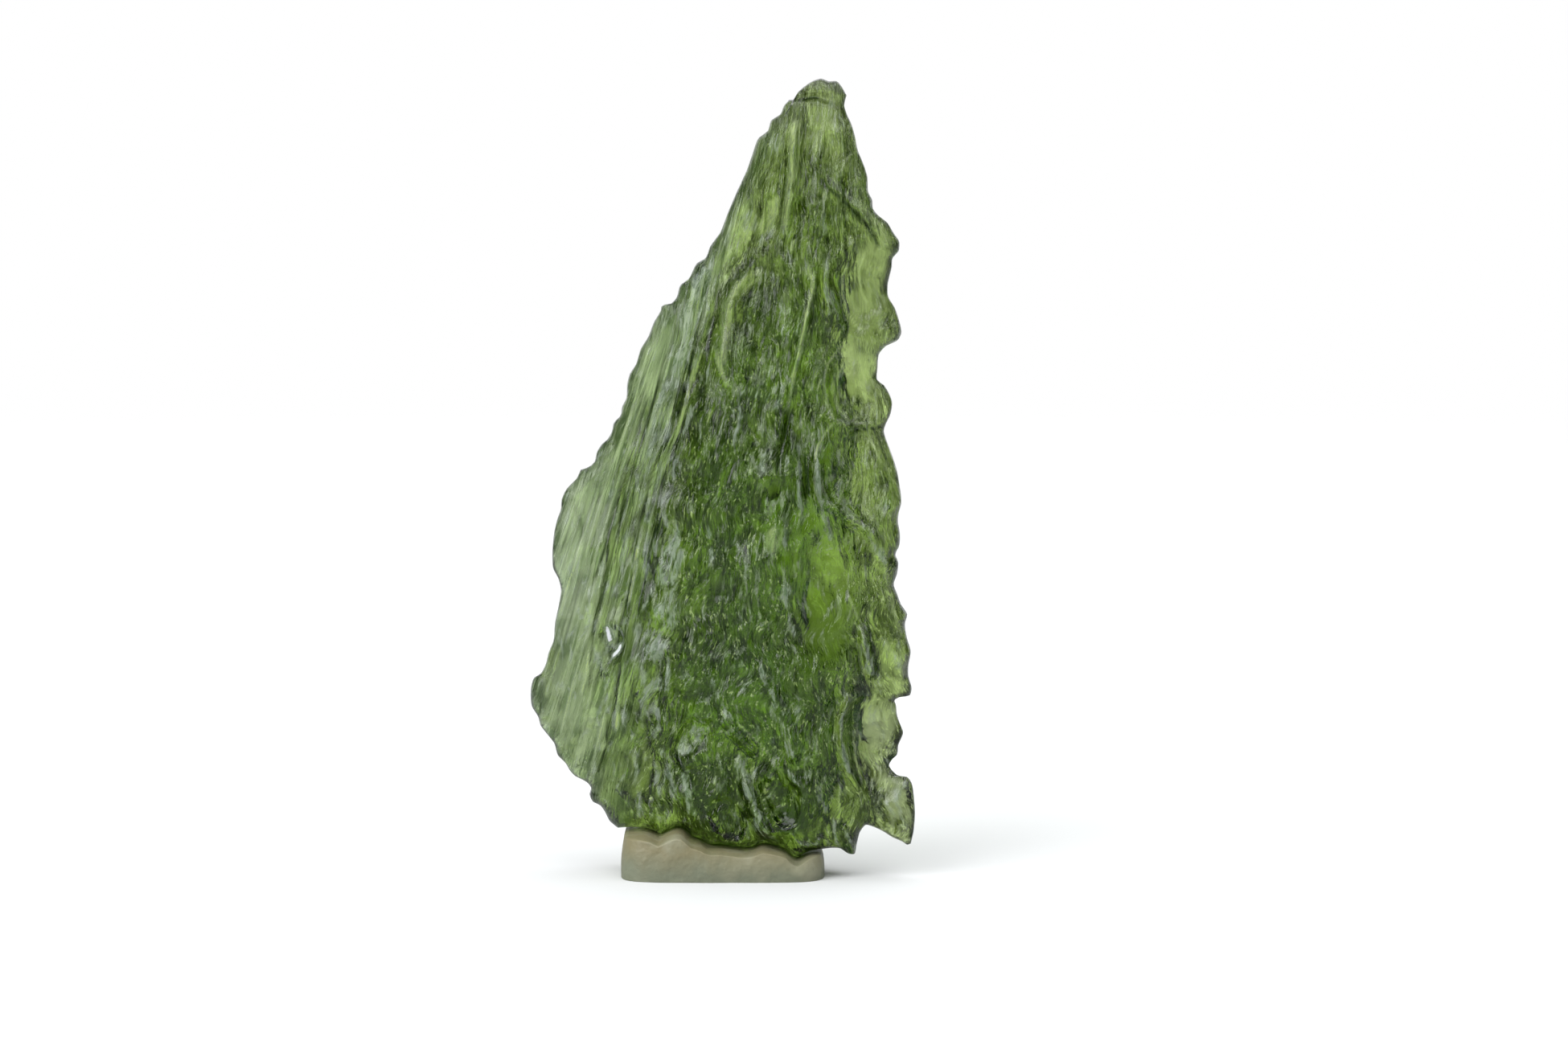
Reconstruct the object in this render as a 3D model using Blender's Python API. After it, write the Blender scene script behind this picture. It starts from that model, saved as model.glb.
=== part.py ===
"""A moldavite, a thin sculpted splash of green natural glass, standing upright on a pad of putty.

Metres, +Z up, the broad face towards -Y. The origin is the middle of the pad's flat underside.
The outline, the relief and the thicknesses are lists of millimetres, x to the right and z up as
seen from the front. A front and a back sheet are stretched between the four edges of the outline,
pushed apart by the stone's thickness and its relief, and welded along the rim.
"""

import bmesh
import bpy
import numpy as np

MM = 0.001

# The stone's outline, seen from the front. Left and right edges run up, the others left to right.
LEFT_EDGE = [
    (-5.45, 2.15), (-5.9, 2.5), (-6.2, 3.05), (-6.45, 3.35), (-6.75, 3.45), (-6.95, 3.85),
    (-6.87, 4.2), (-7.1, 4.5), (-7.75, 4.82), (-8.0, 5.1), (-8.2, 5.45), (-8.6, 5.85),
    (-8.8, 6.5), (-9.15, 6.95), (-9.5, 7.4), (-9.62, 7.85), (-9.95, 8.4), (-10.02, 9.1),
    (-9.95, 9.6), (-9.82, 9.95), (-9.5, 10.15), (-9.2, 10.7), (-9.05, 11.3), (-8.8, 11.9),
    (-8.7, 12.9), (-8.5, 13.8), (-8.38, 14.6), (-8.5, 15.15), (-8.78, 15.7), (-8.82, 16.5),
    (-8.7, 17.7), (-8.55, 18.3), (-8.38, 18.75), (-8.33, 19.3), (-8.1, 19.8), (-7.5, 20.45),
    (-7.3, 20.85), (-6.95, 20.95), (-6.62, 21.25), (-6.5, 21.75), (-6.2, 22.2), (-5.95, 22.4),
    (-5.7, 22.85), (-5.6, 23.3), (-5.25, 23.65), (-5.18, 24.1), (-4.95, 24.55), (-4.9, 25.3),
    (-4.75, 25.85), (-4.45, 26.3), (-4.2, 27.1), (-3.8, 27.75), (-3.5, 28.5), (-3.15, 29.1),
    (-3.05, 29.4), (-2.65, 29.45), (-2.35, 29.75), (-2.1, 30.45), (-1.75, 30.7), (-1.2, 31.6),
    (-0.9, 31.75), (-0.6, 32.4), (-0.1, 33.1), (0.3, 34.1), (0.75, 35.15), (1.3, 36.35),
    (1.6, 37.2), (1.9, 37.95), (2.35, 38.3), (2.55, 38.85), (3.0, 39.15), (3.2, 39.6),
    (3.45, 39.87),
]
TOP_EDGE = [
    (3.45, 39.87), (3.83, 39.97), (3.87, 40.2), (4.1, 40.45), (4.7, 40.85), (5.1, 40.95),
    (5.45, 40.82), (5.9, 40.8), (6.12, 40.55), (6.37, 40.1),
]
RIGHT_EDGE = [
    (9.72, 1.72), (9.85, 2.3), (9.93, 3.3), (9.87, 4.2), (9.72, 4.95), (9.5, 5.2),
    (9.1, 5.22), (8.85, 5.4), (8.6, 5.75), (8.75, 6.05), (9.0, 6.3), (9.07, 6.8),
    (9.32, 7.5), (9.15, 7.95), (9.0, 8.4), (8.95, 8.9), (8.87, 9.15), (9.2, 9.33),
    (9.6, 9.36), (9.75, 9.75), (9.58, 10.4), (9.58, 10.9), (9.7, 11.7), (9.5, 12.4),
    (9.4, 13.1), (9.52, 13.6), (9.2, 14.1), (8.98, 14.7), (8.82, 15.1), (9.0, 15.7),
    (9.05, 16.3), (8.9, 16.68), (9.1, 17.1), (9.13, 17.8), (9.03, 18.4), (9.07, 18.8),
    (9.2, 19.3), (9.12, 20.2), (8.97, 21.0), (8.75, 21.7), (8.5, 22.35), (8.3, 23.05),
    (8.45, 23.45), (8.62, 23.8), (8.72, 24.5), (8.5, 25.05), (8.25, 25.4), (8.0, 25.55),
    (7.98, 26.2), (8.08, 27.0), (8.4, 27.35), (9.0, 27.65), (9.18, 28.0), (9.05, 28.7),
    (8.85, 29.3), (8.5, 29.9), (8.48, 30.5), (8.68, 31.4), (8.72, 31.85), (9.02, 32.2),
    (9.05, 32.7), (8.75, 33.15), (8.45, 33.65), (7.95, 34.05), (7.72, 34.35), (7.68, 34.8),
    (7.48, 35.2), (7.43, 36.0), (7.2, 36.7), (6.95, 37.3), (6.78, 38.1), (6.6, 38.7),
    (6.4, 39.1), (6.25, 39.5), (6.3, 39.85), (6.37, 40.1),
]
BOTTOM_EDGE = [
    (-5.45, 2.15), (-4.9, 2.2), (-4.0, 2.2), (-3.55, 2.08), (-3.25, 1.92), (-2.9, 2.1),
    (-2.4, 2.32), (-2.0, 2.28), (-1.65, 1.9), (-1.1, 1.72), (-0.75, 1.53), (0.0, 1.5),
    (0.6, 1.42), (1.2, 1.35), (1.6, 1.4), (2.05, 1.6), (2.7, 1.5), (3.3, 1.32),
    (3.65, 0.98), (3.88, 0.88), (4.15, 1.02), (4.5, 1.22), (5.2, 1.32), (6.1, 1.35),
    (6.5, 1.1), (6.85, 1.1), (6.95, 1.6), (7.1, 2.2), (7.4, 2.6), (7.85, 2.5),
    (8.4, 2.25), (8.75, 2.03), (9.3, 1.8), (9.55, 1.65), (9.72, 1.72),
]
TIP = (5.0, 40.9)  # the glass was drawn out downwards from here, in a fan

# Half thicknesses at chosen places: x, z, towards the front, towards the back.
THICKNESS_SPOTS = [
    (5.0, 40.5, 0.7, 0.6), (4.3, 38.0, 1.2, 1.0), (2.2, 36.0, 1.2, 0.9), (6.5, 36.0, 1.2, 1.1),
    (4.5, 33.5, 2.5, 1.9), (1.0, 33.0, 1.1, 0.9), (7.8, 32.0, 1.0, 0.9), (-1.5, 29.0, 0.9, 0.8),
    (2.8, 28.5, 2.8, 2.3), (7.3, 29.0, 1.2, 1.1), (-3.6, 25.0, 0.9, 0.8), (1.0, 24.5, 2.7, 2.4),
    (4.5, 24.5, 2.6, 2.2), (7.5, 25.0, 1.1, 0.9), (-6.5, 20.0, 0.7, 0.7), (-3.4, 20.5, 1.4, 1.2),
    (0.5, 20.0, 3.0, 2.8), (4.3, 20.0, 2.7, 2.5), (7.6, 20.0, 1.7, 1.5), (-7.8, 16.0, 0.6, 0.6),
    (-5.0, 15.5, 1.2, 1.1), (-1.2, 15.5, 3.1, 2.9), (2.4, 15.5, 3.1, 2.9), (5.4, 15.0, 2.2, 2.1),
    (8.2, 14.5, 1.3, 1.3), (-8.8, 9.5, 0.6, 0.6), (-6.4, 10.0, 1.0, 1.0), (-3.5, 10.0, 2.1, 1.8),
    (-0.5, 10.0, 3.2, 3.0), (3.5, 10.0, 3.1, 3.0), (6.2, 11.0, 2.4, 2.2), (8.8, 11.0, 1.0, 1.0),
    (-7.4, 6.0, 0.8, 0.8), (-4.5, 5.0, 1.8, 1.5), (-0.5, 5.0, 2.9, 2.6), (3.5, 5.0, 3.0, 2.8),
    (5.9, 5.5, 2.3, 2.0), (7.7, 7.0, 0.7, 0.7), (9.1, 3.6, 0.5, 0.5), (8.7, 7.8, 0.5, 0.5),
    (-3.0, 2.6, 1.6, 1.4), (2.0, 2.2, 1.9, 1.7), (5.8, 2.2, 1.4, 1.2),
]
SPOT_REACH = 1.7  # how far each of those places is felt
THINNEST_HALF = 0.16
RIM_ROUND = 0.3  # the rim's rounding, to which a thick place adds a share of its half thickness
RIM_ROUND_SHARE = 0.4
RIM_STEPS = 253  # points along each long edge, one more than a multiple of four
SWING = -0.16  # the left edge stands back and the right edge comes forward, by this much per mm
SWAY = 0.45  # how far the middle of the stone sways to the front and the back

# Scoops left by flakes and etching: x, z, half width, half height, lean in degrees to the
# right, depth, and the direction in degrees in which the scoop runs out flat, or None.
FRONT_SCOOPS = [
    (2.3, 28.7, 1.5, 3.1, 4, 0.55, None),
    (2.65, 33.9, 0.5, 1.1, 15, 0.35, None),
    (5.75, 37.2, 0.75, 1.3, 5, 0.35, None),
    (6.75, 36.1, 0.6, 1.2, 0, 0.3, 0),
    (7.7, 30.3, 2.1, 2.5, 8, 0.5, 0),
    (7.0, 25.4, 1.35, 2.05, 0, 0.75, 30),
    (7.3, 20.9, 2.3, 2.5, 12, 0.7, 60),
    (5.2, 15.4, 1.35, 2.7, -3, 0.75, -90),
    (-5.7, 11.9, 0.65, 1.15, 12, 0.45, None),
    (-1.5, 7.4, 0.8, 1.5, 24, 0.45, None),
    (7.8, 6.9, 1.5, 3.1, -6, 0.6, 0),
    (0.3, 3.1, 0.8, 1.3, -15, 0.35, None),
    (3.1, 4.2, 0.9, 1.6, -22, 0.5, None),
    (-2.5, 17.0, 0.7, 2.0, 6, 0.3, None),
    (1.6, 18.6, 1.1, 2.2, 0, 0.35, None),
    (-6.9, 6.7, 1.3, 1.9, 18, 0.25, 200),
]
BACK_SCOOPS = [
    (3.9, 33.0, 1.2, 3.4, 4, 0.5, None),
    (0.3, 29.3, 1.2, 3.0, 18, 0.45, None),
    (6.4, 28.2, 1.4, 2.6, -4, 0.5, 0),
    (2.6, 22.3, 1.5, 3.6, 6, 0.65, None),
    (-3.6, 20.8, 1.4, 3.3, 20, 0.4, 180),
    (7.2, 19.0, 1.4, 3.0, -8, 0.5, 0),
    (-0.9, 14.2, 1.6, 3.7, 8, 0.7, None),
    (4.2, 12.0, 1.5, 3.3, -6, 0.65, -90),
    (-6.2, 12.4, 1.3, 2.9, 12, 0.35, 180),
    (7.6, 9.0, 1.2, 2.6, -4, 0.4, 0),
    (1.0, 5.2, 1.6, 2.5, -10, 0.6, -90),
    (-3.9, 5.4, 1.3, 2.2, 14, 0.45, None),
    (5.6, 4.1, 1.1, 1.9, -14, 0.45, None),
]

# Ridges, and grooves where the height is negative: half width, height, then the points.
FRONT_RIDGES = [
    (0.30, 0.35, [(3.85, 38.9), (3.6, 36.6), (3.45, 34.9), (3.2, 32.6)]),
    (0.22, 0.25, [(4.95, 33.3), (4.75, 30.3), (4.0, 27.4), (3.1, 24.2), (2.8, 22.1)]),
    (0.35, 0.35, [(1.7, 31.5), (0.55, 30.3), (0.1, 28.4), (-0.1, 26.3)]),
    (0.30, 0.32, [(5.15, 35.9), (6.1, 34.95), (7.1, 34.1), (7.95, 32.7)]),
    (0.28, 0.32, [(5.3, 32.0), (5.4, 30.2), (5.8, 28.6), (6.3, 27.4)]),
    (0.20, -0.30, [(3.85, 40.02), (4.9, 40.05), (5.9, 39.75)]),
    (0.25, 0.30, [(5.5, 26.9), (5.3, 25.2), (5.7, 23.7), (6.7, 23.25), (8.2, 23.3)]),
    (0.25, 0.30, [(4.85, 23.0), (4.8, 21.3), (5.2, 19.7), (6.4, 18.9), (7.6, 18.0), (8.7, 16.6)]),
    (0.22, 0.35, [(3.6, 22.9), (3.8, 21.0), (4.1, 19.2)]),
    (0.28, 0.30, [(7.1, 13.2), (7.4, 11.8), (7.8, 10.2)]),
    (0.22, 0.30, [(7.5, 9.7), (6.5, 9.3), (6.1, 8.3), (6.3, 6.6), (6.9, 5.2), (7.4, 4.2)]),
    (0.25, 0.25, [(-0.3, 8.9), (0.9, 7.4), (1.9, 6.3)]),
    (0.28, 0.30, [(1.9, 11.5), (2.9, 9.5), (3.6, 7.4), (3.7, 5.8)]),
    (0.35, 0.40, [(1.0, 5.6), (1.6, 3.7), (2.6, 1.9)]),
    (0.20, 0.20, [(-0.3, 30.8), (-1.3, 27.0), (-2.4, 23.1), (-3.9, 19.9)]),
    (0.22, 0.22, [(-4.6, 20.6), (-5.2, 18.0), (-5.9, 15.0), (-6.9, 10.4)]),
    (0.18, 0.20, [(-4.1, 17.2), (-4.7, 14.0), (-5.1, 11.0), (-5.6, 7.4)]),
    (0.30, 0.25, [(-2.9, 13.0), (-2.8, 10.0), (-2.9, 7.6), (-2.5, 5.2), (-1.5, 2.9)]),
    (0.25, -0.25, [(0.9, 23.9), (2.0, 22.5), (2.2, 20.8)]),
]
BACK_RIDGES = [
    (0.30, 0.30, [(4.9, 38.4), (4.8, 34.5), (5.2, 30.0), (5.1, 26.0)]),
    (0.28, 0.28, [(2.3, 34.5), (1.7, 30.0), (0.6, 25.5), (-0.4, 21.0)]),
    (0.32, 0.32, [(4.3, 24.5), (4.7, 20.0), (4.9, 16.0), (5.9, 11.5)]),
    (0.28, 0.25, [(-2.6, 26.0), (-4.6, 20.0), (-5.6, 15.0)]),
    (0.32, 0.30, [(1.1, 18.5), (1.3, 13.0), (2.1, 8.0), (3.3, 4.0)]),
    (0.25, 0.28, [(-3.2, 13.5), (-3.4, 9.0), (-2.3, 4.0)]),
    (0.25, -0.25, [(-7.5, 18.5), (-7.9, 13.0), (-7.4, 8.0)]),
]

# Long flutes that follow the fan: how many across, how many along, and how high.
FLUTES = ((2.6, 0.10, 0.20), (6.0, 0.22, 0.09))
LUMPS = (3.2, 5.5, 0.30)  # broad swells: width, length, height

SHEET_COLUMNS, SHEET_ROWS = 120, 180
RIM_CROWDING = 0.35  # how much closer the sheets' lines lie near the rim than in the middle
STONE_DETAIL = 0.103  # the share of the fine sheets' faces that is kept

# The pad, from its left and right ends at the bottom and at the top.
PAD_LEFT, PAD_RIGHT = -5.22, 5.28
PAD_NARROWS = 0.16  # each end leans in by this much on the way up
PAD_DEPTH = 6.8
PAD_GAP = 0.3  # between the putty and the stone pressed onto it
PAD_BULGE = 0.06
PAD_CORNER = 5.0  # the power of the pad's rounded plan: 2 would be an ellipse
PAD_CUTS = 8

FRONT, BACK = 0, 1


def clear_scene():
    for old in list(bpy.data.objects):
        bpy.data.objects.remove(old, do_unlink=True)


def glass_material():
    glass = bpy.data.materials.new("bottle_green_glass")
    glass.use_nodes = True
    shader = glass.node_tree.nodes["Principled BSDF"]
    shader.inputs["Base Color"].default_value = (0.17, 0.30, 0.07, 1)
    shader.inputs["Roughness"].default_value = 0.22
    shader.inputs["Metallic"].default_value = 0
    shader.inputs["IOR"].default_value = 1.49
    shader.inputs["Transmission Weight"].default_value = 0.7
    return glass


def putty_material():
    putty = bpy.data.materials.new("pale_putty")
    putty.use_nodes = True
    shader = putty.node_tree.nodes["Principled BSDF"]
    shader.inputs["Base Color"].default_value = (0.42, 0.39, 0.28, 1)
    shader.inputs["Roughness"].default_value = 0.6
    shader.inputs["Metallic"].default_value = 0
    return putty


def lattice_share(column, row, seed):
    """A repeatable share from 0 to 1 for each corner of a whole-number lattice."""
    mixed = (column * 374761393 + row * 668265263 + seed * 1442695041) & 0xFFFFFFFF
    mixed = ((mixed ^ (mixed >> 13)) * 1274126177) & 0xFFFFFFFF
    return ((mixed ^ (mixed >> 16)) & 0xFFFF) / 65536


def noise(across, along, seed):
    """Smooth gradient noise, from about -1 to 1."""
    column, row = np.floor(across).astype(np.int64), np.floor(along).astype(np.int64)
    a, b = across - column, along - row
    ease_a, ease_b = (t * t * t * (t * (t * 6 - 15) + 10) for t in (a, b))

    def corner(right, up):
        turn = 2 * np.pi * lattice_share(column + right, row + up, seed)
        return np.cos(turn) * (a - right) + np.sin(turn) * (b - up)

    low = corner(0, 0) * (1 - ease_a) + corner(1, 0) * ease_a
    high = corner(0, 1) * (1 - ease_a) + corner(1, 1) * ease_a
    return 1.5 * (low * (1 - ease_b) + high * ease_b)


def eased(share):
    share = np.clip(share, 0, 1)
    return share * share * (3 - 2 * share)


def side_shares(points, axis):
    """Where each point lies along its edge: half by length, half by height (1) or width (0)."""
    steps = np.diff(points, axis=0)
    length = np.concatenate([[0], np.cumsum(np.hypot(steps[:, 0], steps[:, 1]))])
    reach = np.concatenate([[0], np.cumsum(np.abs(steps[:, axis]))])
    return 0.5 * length / length[-1] + 0.5 * reach / reach[-1]


def along_edge(edge, axis, at):
    """Places on the smooth curve through an edge's points, at shares of it from 0 to 1."""
    points = np.array(edge)
    shares = side_shares(points, axis)
    slopes = 0.7 * np.gradient(points, shares, axis=0)
    index = np.clip(np.searchsorted(shares, at, side="right") - 1, 0, len(points) - 2)
    span = (shares[index + 1] - shares[index])[:, None]
    t = (at[:, None] - shares[index][:, None]) / span
    return (
        (2 * t**3 - 3 * t**2 + 1) * points[index]
        + (t**3 - 2 * t**2 + t) * span * slopes[index]
        + (3 * t**2 - 2 * t**3) * points[index + 1]
        + (t**3 - t**2) * span * slopes[index + 1]
    )


def on_face(u, v):
    """x and z of the places u across and v up the outline, stretched between its four edges."""
    left, right = along_edge(LEFT_EDGE, 1, v), along_edge(RIGHT_EDGE, 1, v)
    bottom, top = along_edge(BOTTOM_EDGE, 0, u), along_edge(TOP_EDGE, 0, u)
    u, v = u[:, None], v[:, None]
    corners = (1 - v) * ((1 - u) * np.array(BOTTOM_EDGE[0]) + u * np.array(BOTTOM_EDGE[-1]))
    corners = corners + v * ((1 - u) * np.array(TOP_EDGE[0]) + u * np.array(TOP_EDGE[-1]))
    place = (1 - u) * left + u * right + (1 - v) * bottom + v * top - corners
    return place[:, 0], place[:, 1]


def distance_to_line(x, z, points):
    """Distance to a line of points, and how far along it the nearest place is, from 0 to 1."""
    points = np.array(points)
    nearest = np.full(x.shape, np.inf)
    share = np.zeros(x.shape)
    for index, (start, end) in enumerate(zip(points[:-1], points[1:])):
        run = end - start
        t = np.clip(((x - start[0]) * run[0] + (z - start[1]) * run[1]) / (run @ run), 0, 1)
        gap = np.hypot(x - start[0] - t * run[0], z - start[1] - t * run[1])
        closer = gap < nearest
        nearest = np.where(closer, gap, nearest)
        share = np.where(closer, (index + t) / (len(points) - 1), share)
    return nearest, share


def rim_line():
    """The whole outline as one closed line of close points."""
    at = np.linspace(0, 1, RIM_STEPS)
    line = np.concatenate([
        along_edge(LEFT_EDGE, 1, at)[:-1],
        along_edge(TOP_EDGE, 0, at[::4])[:-1],
        along_edge(RIGHT_EDGE, 1, at[::-1])[:-1],
        along_edge(BOTTOM_EDGE, 0, at[::-1])[:-1],
    ])
    return np.concatenate([line, line[:1]])


def half_thickness(x, z, side):
    """The stone's thickness from its middle to one side, before the relief."""
    total, weights = np.zeros(x.shape), np.zeros(x.shape)
    for spot_x, spot_z, *halves in THICKNESS_SPOTS:
        squared = ((x - spot_x) ** 2 + (0.6 * (z - spot_z)) ** 2) / SPOT_REACH**2
        weight = np.exp(-squared) + 1e-6 / (1 + squared)
        total += weight * halves[side]
        weights += weight
    return total / weights


def fan_line(x, z, seed):
    """Which line of the fan each place is on: the lines spread from the tip and waver a little."""
    below = np.clip(TIP[1] - z, 0, None)
    line = (x - TIP[0] + 0.04 * below) / (1 + 0.06 * below)
    return line + 0.12 * noise(x / 5, z / 9, seed)


def scoop_relief(x, z, scoops):
    relief = np.zeros(x.shape)
    for middle_x, middle_z, wide, tall, lean, depth, opens in scoops:
        turn = np.radians(lean)
        across = (x - middle_x) * np.cos(turn) - (z - middle_z) * np.sin(turn)
        along = (x - middle_x) * np.sin(turn) + (z - middle_z) * np.cos(turn)
        out = np.hypot(across / wide, along / tall)
        bowl = -depth * (1 - np.clip(out, 0, 1) ** 3)
        lip = 0.3 * depth * np.exp(-(((out - 1.05) * min(wide, tall) / 0.22) ** 2))
        if opens is not None:
            way = np.radians(opens)
            towards = across / wide * np.cos(way) + along / tall * np.sin(way)
            closed = eased(0.5 - 0.6 * towards)
            bowl, lip = bowl * (0.35 + 0.65 * closed), lip * closed
        relief += bowl + lip
    return relief


def ridge_relief(x, z, ridges):
    relief = np.zeros(x.shape)
    for half_width, height, points in ridges:
        away, share = distance_to_line(x, z, points)
        tapered = eased(share / 0.2) * eased((1 - share) / 0.2)
        relief += height * tapered * np.exp(-((away / half_width) ** 2))
    return relief


def flute_relief(x, z, seed):
    line = fan_line(x, z, seed)
    relief = np.zeros(x.shape)
    for index, (count, along, height) in enumerate(FLUTES):
        wave = noise(line * count, z * along, seed + 11 + index)
        relief += height * (0.45 - 1.6 * np.abs(wave))
    wide, tall, height = LUMPS
    return relief + height * noise(x / wide, z / tall, seed + 17)


def stone_relief(x, z, side):
    scoops = (FRONT_SCOOPS, BACK_SCOOPS)[side]
    ridges = (FRONT_RIDGES, BACK_RIDGES)[side]
    seed = (3, 41)[side]
    return scoop_relief(x, z, scoops) + ridge_relief(x, z, ridges) + flute_relief(x, z, seed)


def middle_y(x, z):
    return SWING * (x - 0.5) + SWAY * noise(x / 8 + 0.4, z / 11, 7)


def crowded(share):
    return share - RIM_CROWDING * np.sin(2 * np.pi * share) / (2 * np.pi)


def on_stone(u, v, side):
    """The stone's surface in metres at u across and v up one of its two sides."""
    x, z = on_face(crowded(u), crowded(v))
    inside, _ = distance_to_line(x, z, rim_line())
    on_rim = (u <= 0) | (u >= 1) | (v <= 0) | (v >= 1)
    half = half_thickness(x, z, side)
    round_over = RIM_ROUND + RIM_ROUND_SHARE * half
    rounded = np.sqrt(1 - (1 - np.clip(inside / round_over, 0, 1)) ** 2)
    half = np.maximum(half + stone_relief(x, z, side), THINNEST_HALF + 0.1 * half) * rounded
    half = np.where(on_rim, 0, half)
    y = middle_y(x, z) + (half if side == BACK else -half)
    return np.stack([x, y, z], axis=1) * MM


def build_stone(collection):
    """Two square sheets, laid out as the stone's front and back and welded along the rim."""
    shape = bmesh.new()
    for side in (FRONT, BACK):
        sheet = bmesh.ops.create_grid(
            shape, x_segments=SHEET_COLUMNS, y_segments=SHEET_ROWS, size=1
        )["verts"]
        flat = (np.array([vert.co[:2] for vert in sheet]) + 1) / 2
        flat = np.where(flat < 1e-6, 0, np.where(flat > 1 - 1e-6, 1, flat))
        for vert, place in zip(sheet, on_stone(flat[:, 0], flat[:, 1], side)):
            vert.co = place
        if side == BACK:
            turned = {face for vert in sheet for face in vert.link_faces}
            bmesh.ops.reverse_faces(shape, faces=list(turned))
    rim = [vert for vert in shape.verts if vert.is_boundary]
    bmesh.ops.remove_doubles(shape, verts=rim, dist=1e-7)
    mesh = bpy.data.meshes.new("moldavite")
    shape.to_mesh(mesh)
    shape.free()
    mesh.shade_smooth()
    stone = bpy.data.objects.new("moldavite", mesh)
    collection.objects.link(stone)
    thinned = stone.modifiers.new("fewer_faces", "DECIMATE")
    thinned.decimate_type = "COLLAPSE"
    thinned.ratio = STONE_DETAIL
    stone.data.materials.append(glass_material())


def underside_of_stone(x):
    """Height of the stone's lower edge above each x of the pad."""
    edge = along_edge(BOTTOM_EDGE, 0, np.linspace(0, 1, 400))
    return np.interp(x, edge[:, 0], edge[:, 1])


def pad_shape(corner):
    """Moves a point of a cube from -1 to 1 to its place in the pad, in metres."""
    a, b, c = corner
    outward = max(abs(a), abs(b))
    if outward > 0:
        rounded = outward / (abs(a) ** PAD_CORNER + abs(b) ** PAD_CORNER) ** (1 / PAD_CORNER)
        a, b = a * rounded, b * rounded
    rise = (c + 1) / 2
    swell = 1 + PAD_BULGE * np.sin(np.pi * rise) * outward**4
    middle = (PAD_LEFT + PAD_RIGHT) / 2
    half_long = (PAD_RIGHT - PAD_LEFT) / 2 - PAD_NARROWS * rise
    x = middle + a * half_long * (1 + (swell - 1) * 0.4)
    y = b * PAD_DEPTH / 2 * (swell + 0.02 * float(noise(np.array(x / 1.7), np.array(b), 5)))
    clear = np.linspace(x - PAD_GAP, x + PAD_GAP, 7)
    top = float(underside_of_stone(clear).min()) - PAD_GAP
    droop = 0.12 * outward**6
    return x * MM, y * MM, max(rise * (top - droop), 0) * MM


def build_pad(collection):
    """A squashed block of putty with a flat underside, its top following the stone's lower edge."""
    bpy.ops.mesh.primitive_cube_add(size=2)
    cube = bpy.context.active_object
    mesh = cube.data
    cube.name = mesh.name = "putty_pad"
    shape = bmesh.new()
    shape.from_mesh(mesh)
    bmesh.ops.subdivide_edges(shape, edges=shape.edges, cuts=PAD_CUTS, use_grid_fill=True)
    for vert in shape.verts:
        vert.co = pad_shape(vert.co)
    shape.to_mesh(mesh)
    shape.free()
    mesh.shade_smooth()
    for holder in list(cube.users_collection):
        holder.objects.unlink(cube)
    collection.objects.link(cube)
    cube.data.materials.append(putty_material())


def main():
    clear_scene()
    collection = bpy.data.collections.new("moldavite_on_putty")
    bpy.context.scene.collection.children.link(collection)
    build_stone(collection)
    build_pad(collection)


main()
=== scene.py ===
"""A moldavite on its pad of putty: the fine glass surface, the putty, the light and the camera.

Lists are in millimetres, x to the right and z up as seen from the front; meshes are in metres.
"""

import bmesh
import bpy
import numpy as np
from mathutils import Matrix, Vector


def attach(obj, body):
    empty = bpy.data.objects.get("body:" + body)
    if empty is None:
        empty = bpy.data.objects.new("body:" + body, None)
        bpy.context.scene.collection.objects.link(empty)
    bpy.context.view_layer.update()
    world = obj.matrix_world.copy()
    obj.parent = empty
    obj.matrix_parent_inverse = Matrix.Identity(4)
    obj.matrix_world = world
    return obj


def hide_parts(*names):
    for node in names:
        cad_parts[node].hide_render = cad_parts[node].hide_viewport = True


MM = 0.001

# The stone's outline, seen from the front: x and z of each point. The left and right edges run up,
# the others to the right.
LEFT_EDGE = [
    -5.45, 2.15, -5.9, 2.5, -6.2, 3.05, -6.45, 3.35, -6.75, 3.45, -6.95, 3.85, -6.87, 4.2,
    -7.1, 4.5, -7.75, 4.82, -8, 5.1, -8.2, 5.45, -8.6, 5.85, -8.8, 6.5, -9.15, 6.95, -9.5, 7.4,
    -9.62, 7.85, -9.95, 8.4, -10.02, 9.1, -9.95, 9.6, -9.82, 9.95, -9.5, 10.15, -9.2, 10.7,
    -9.05, 11.3, -8.8, 11.9, -8.7, 12.9, -8.5, 13.8, -8.38, 14.6, -8.5, 15.15, -8.78, 15.7,
    -8.82, 16.5, -8.7, 17.7, -8.55, 18.3, -8.38, 18.75, -8.33, 19.3, -8.1, 19.8, -7.5, 20.45,
    -7.3, 20.85, -6.95, 20.95, -6.62, 21.25, -6.5, 21.75, -6.2, 22.2, -5.95, 22.4, -5.7, 22.85,
    -5.6, 23.3, -5.25, 23.65, -5.18, 24.1, -4.95, 24.55, -4.9, 25.3, -4.75, 25.85, -4.45, 26.3,
    -4.2, 27.1, -3.8, 27.75, -3.5, 28.5, -3.15, 29.1, -3.05, 29.4, -2.65, 29.45, -2.35, 29.75,
    -2.1, 30.45, -1.75, 30.7, -1.2, 31.6, -0.9, 31.75, -0.6, 32.4, -0.1, 33.1, 0.3, 34.1,
    0.75, 35.15, 1.3, 36.35, 1.6, 37.2, 1.9, 37.95, 2.35, 38.3, 2.55, 38.85, 3, 39.15, 3.2, 39.6,
    3.45, 39.87,
]
TOP_EDGE = [
    3.45, 39.87, 3.83, 39.97, 3.87, 40.2, 4.1, 40.45, 4.7, 40.85, 5.1, 40.95, 5.45, 40.82,
    5.9, 40.8, 6.12, 40.55, 6.37, 40.1,
]
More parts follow.
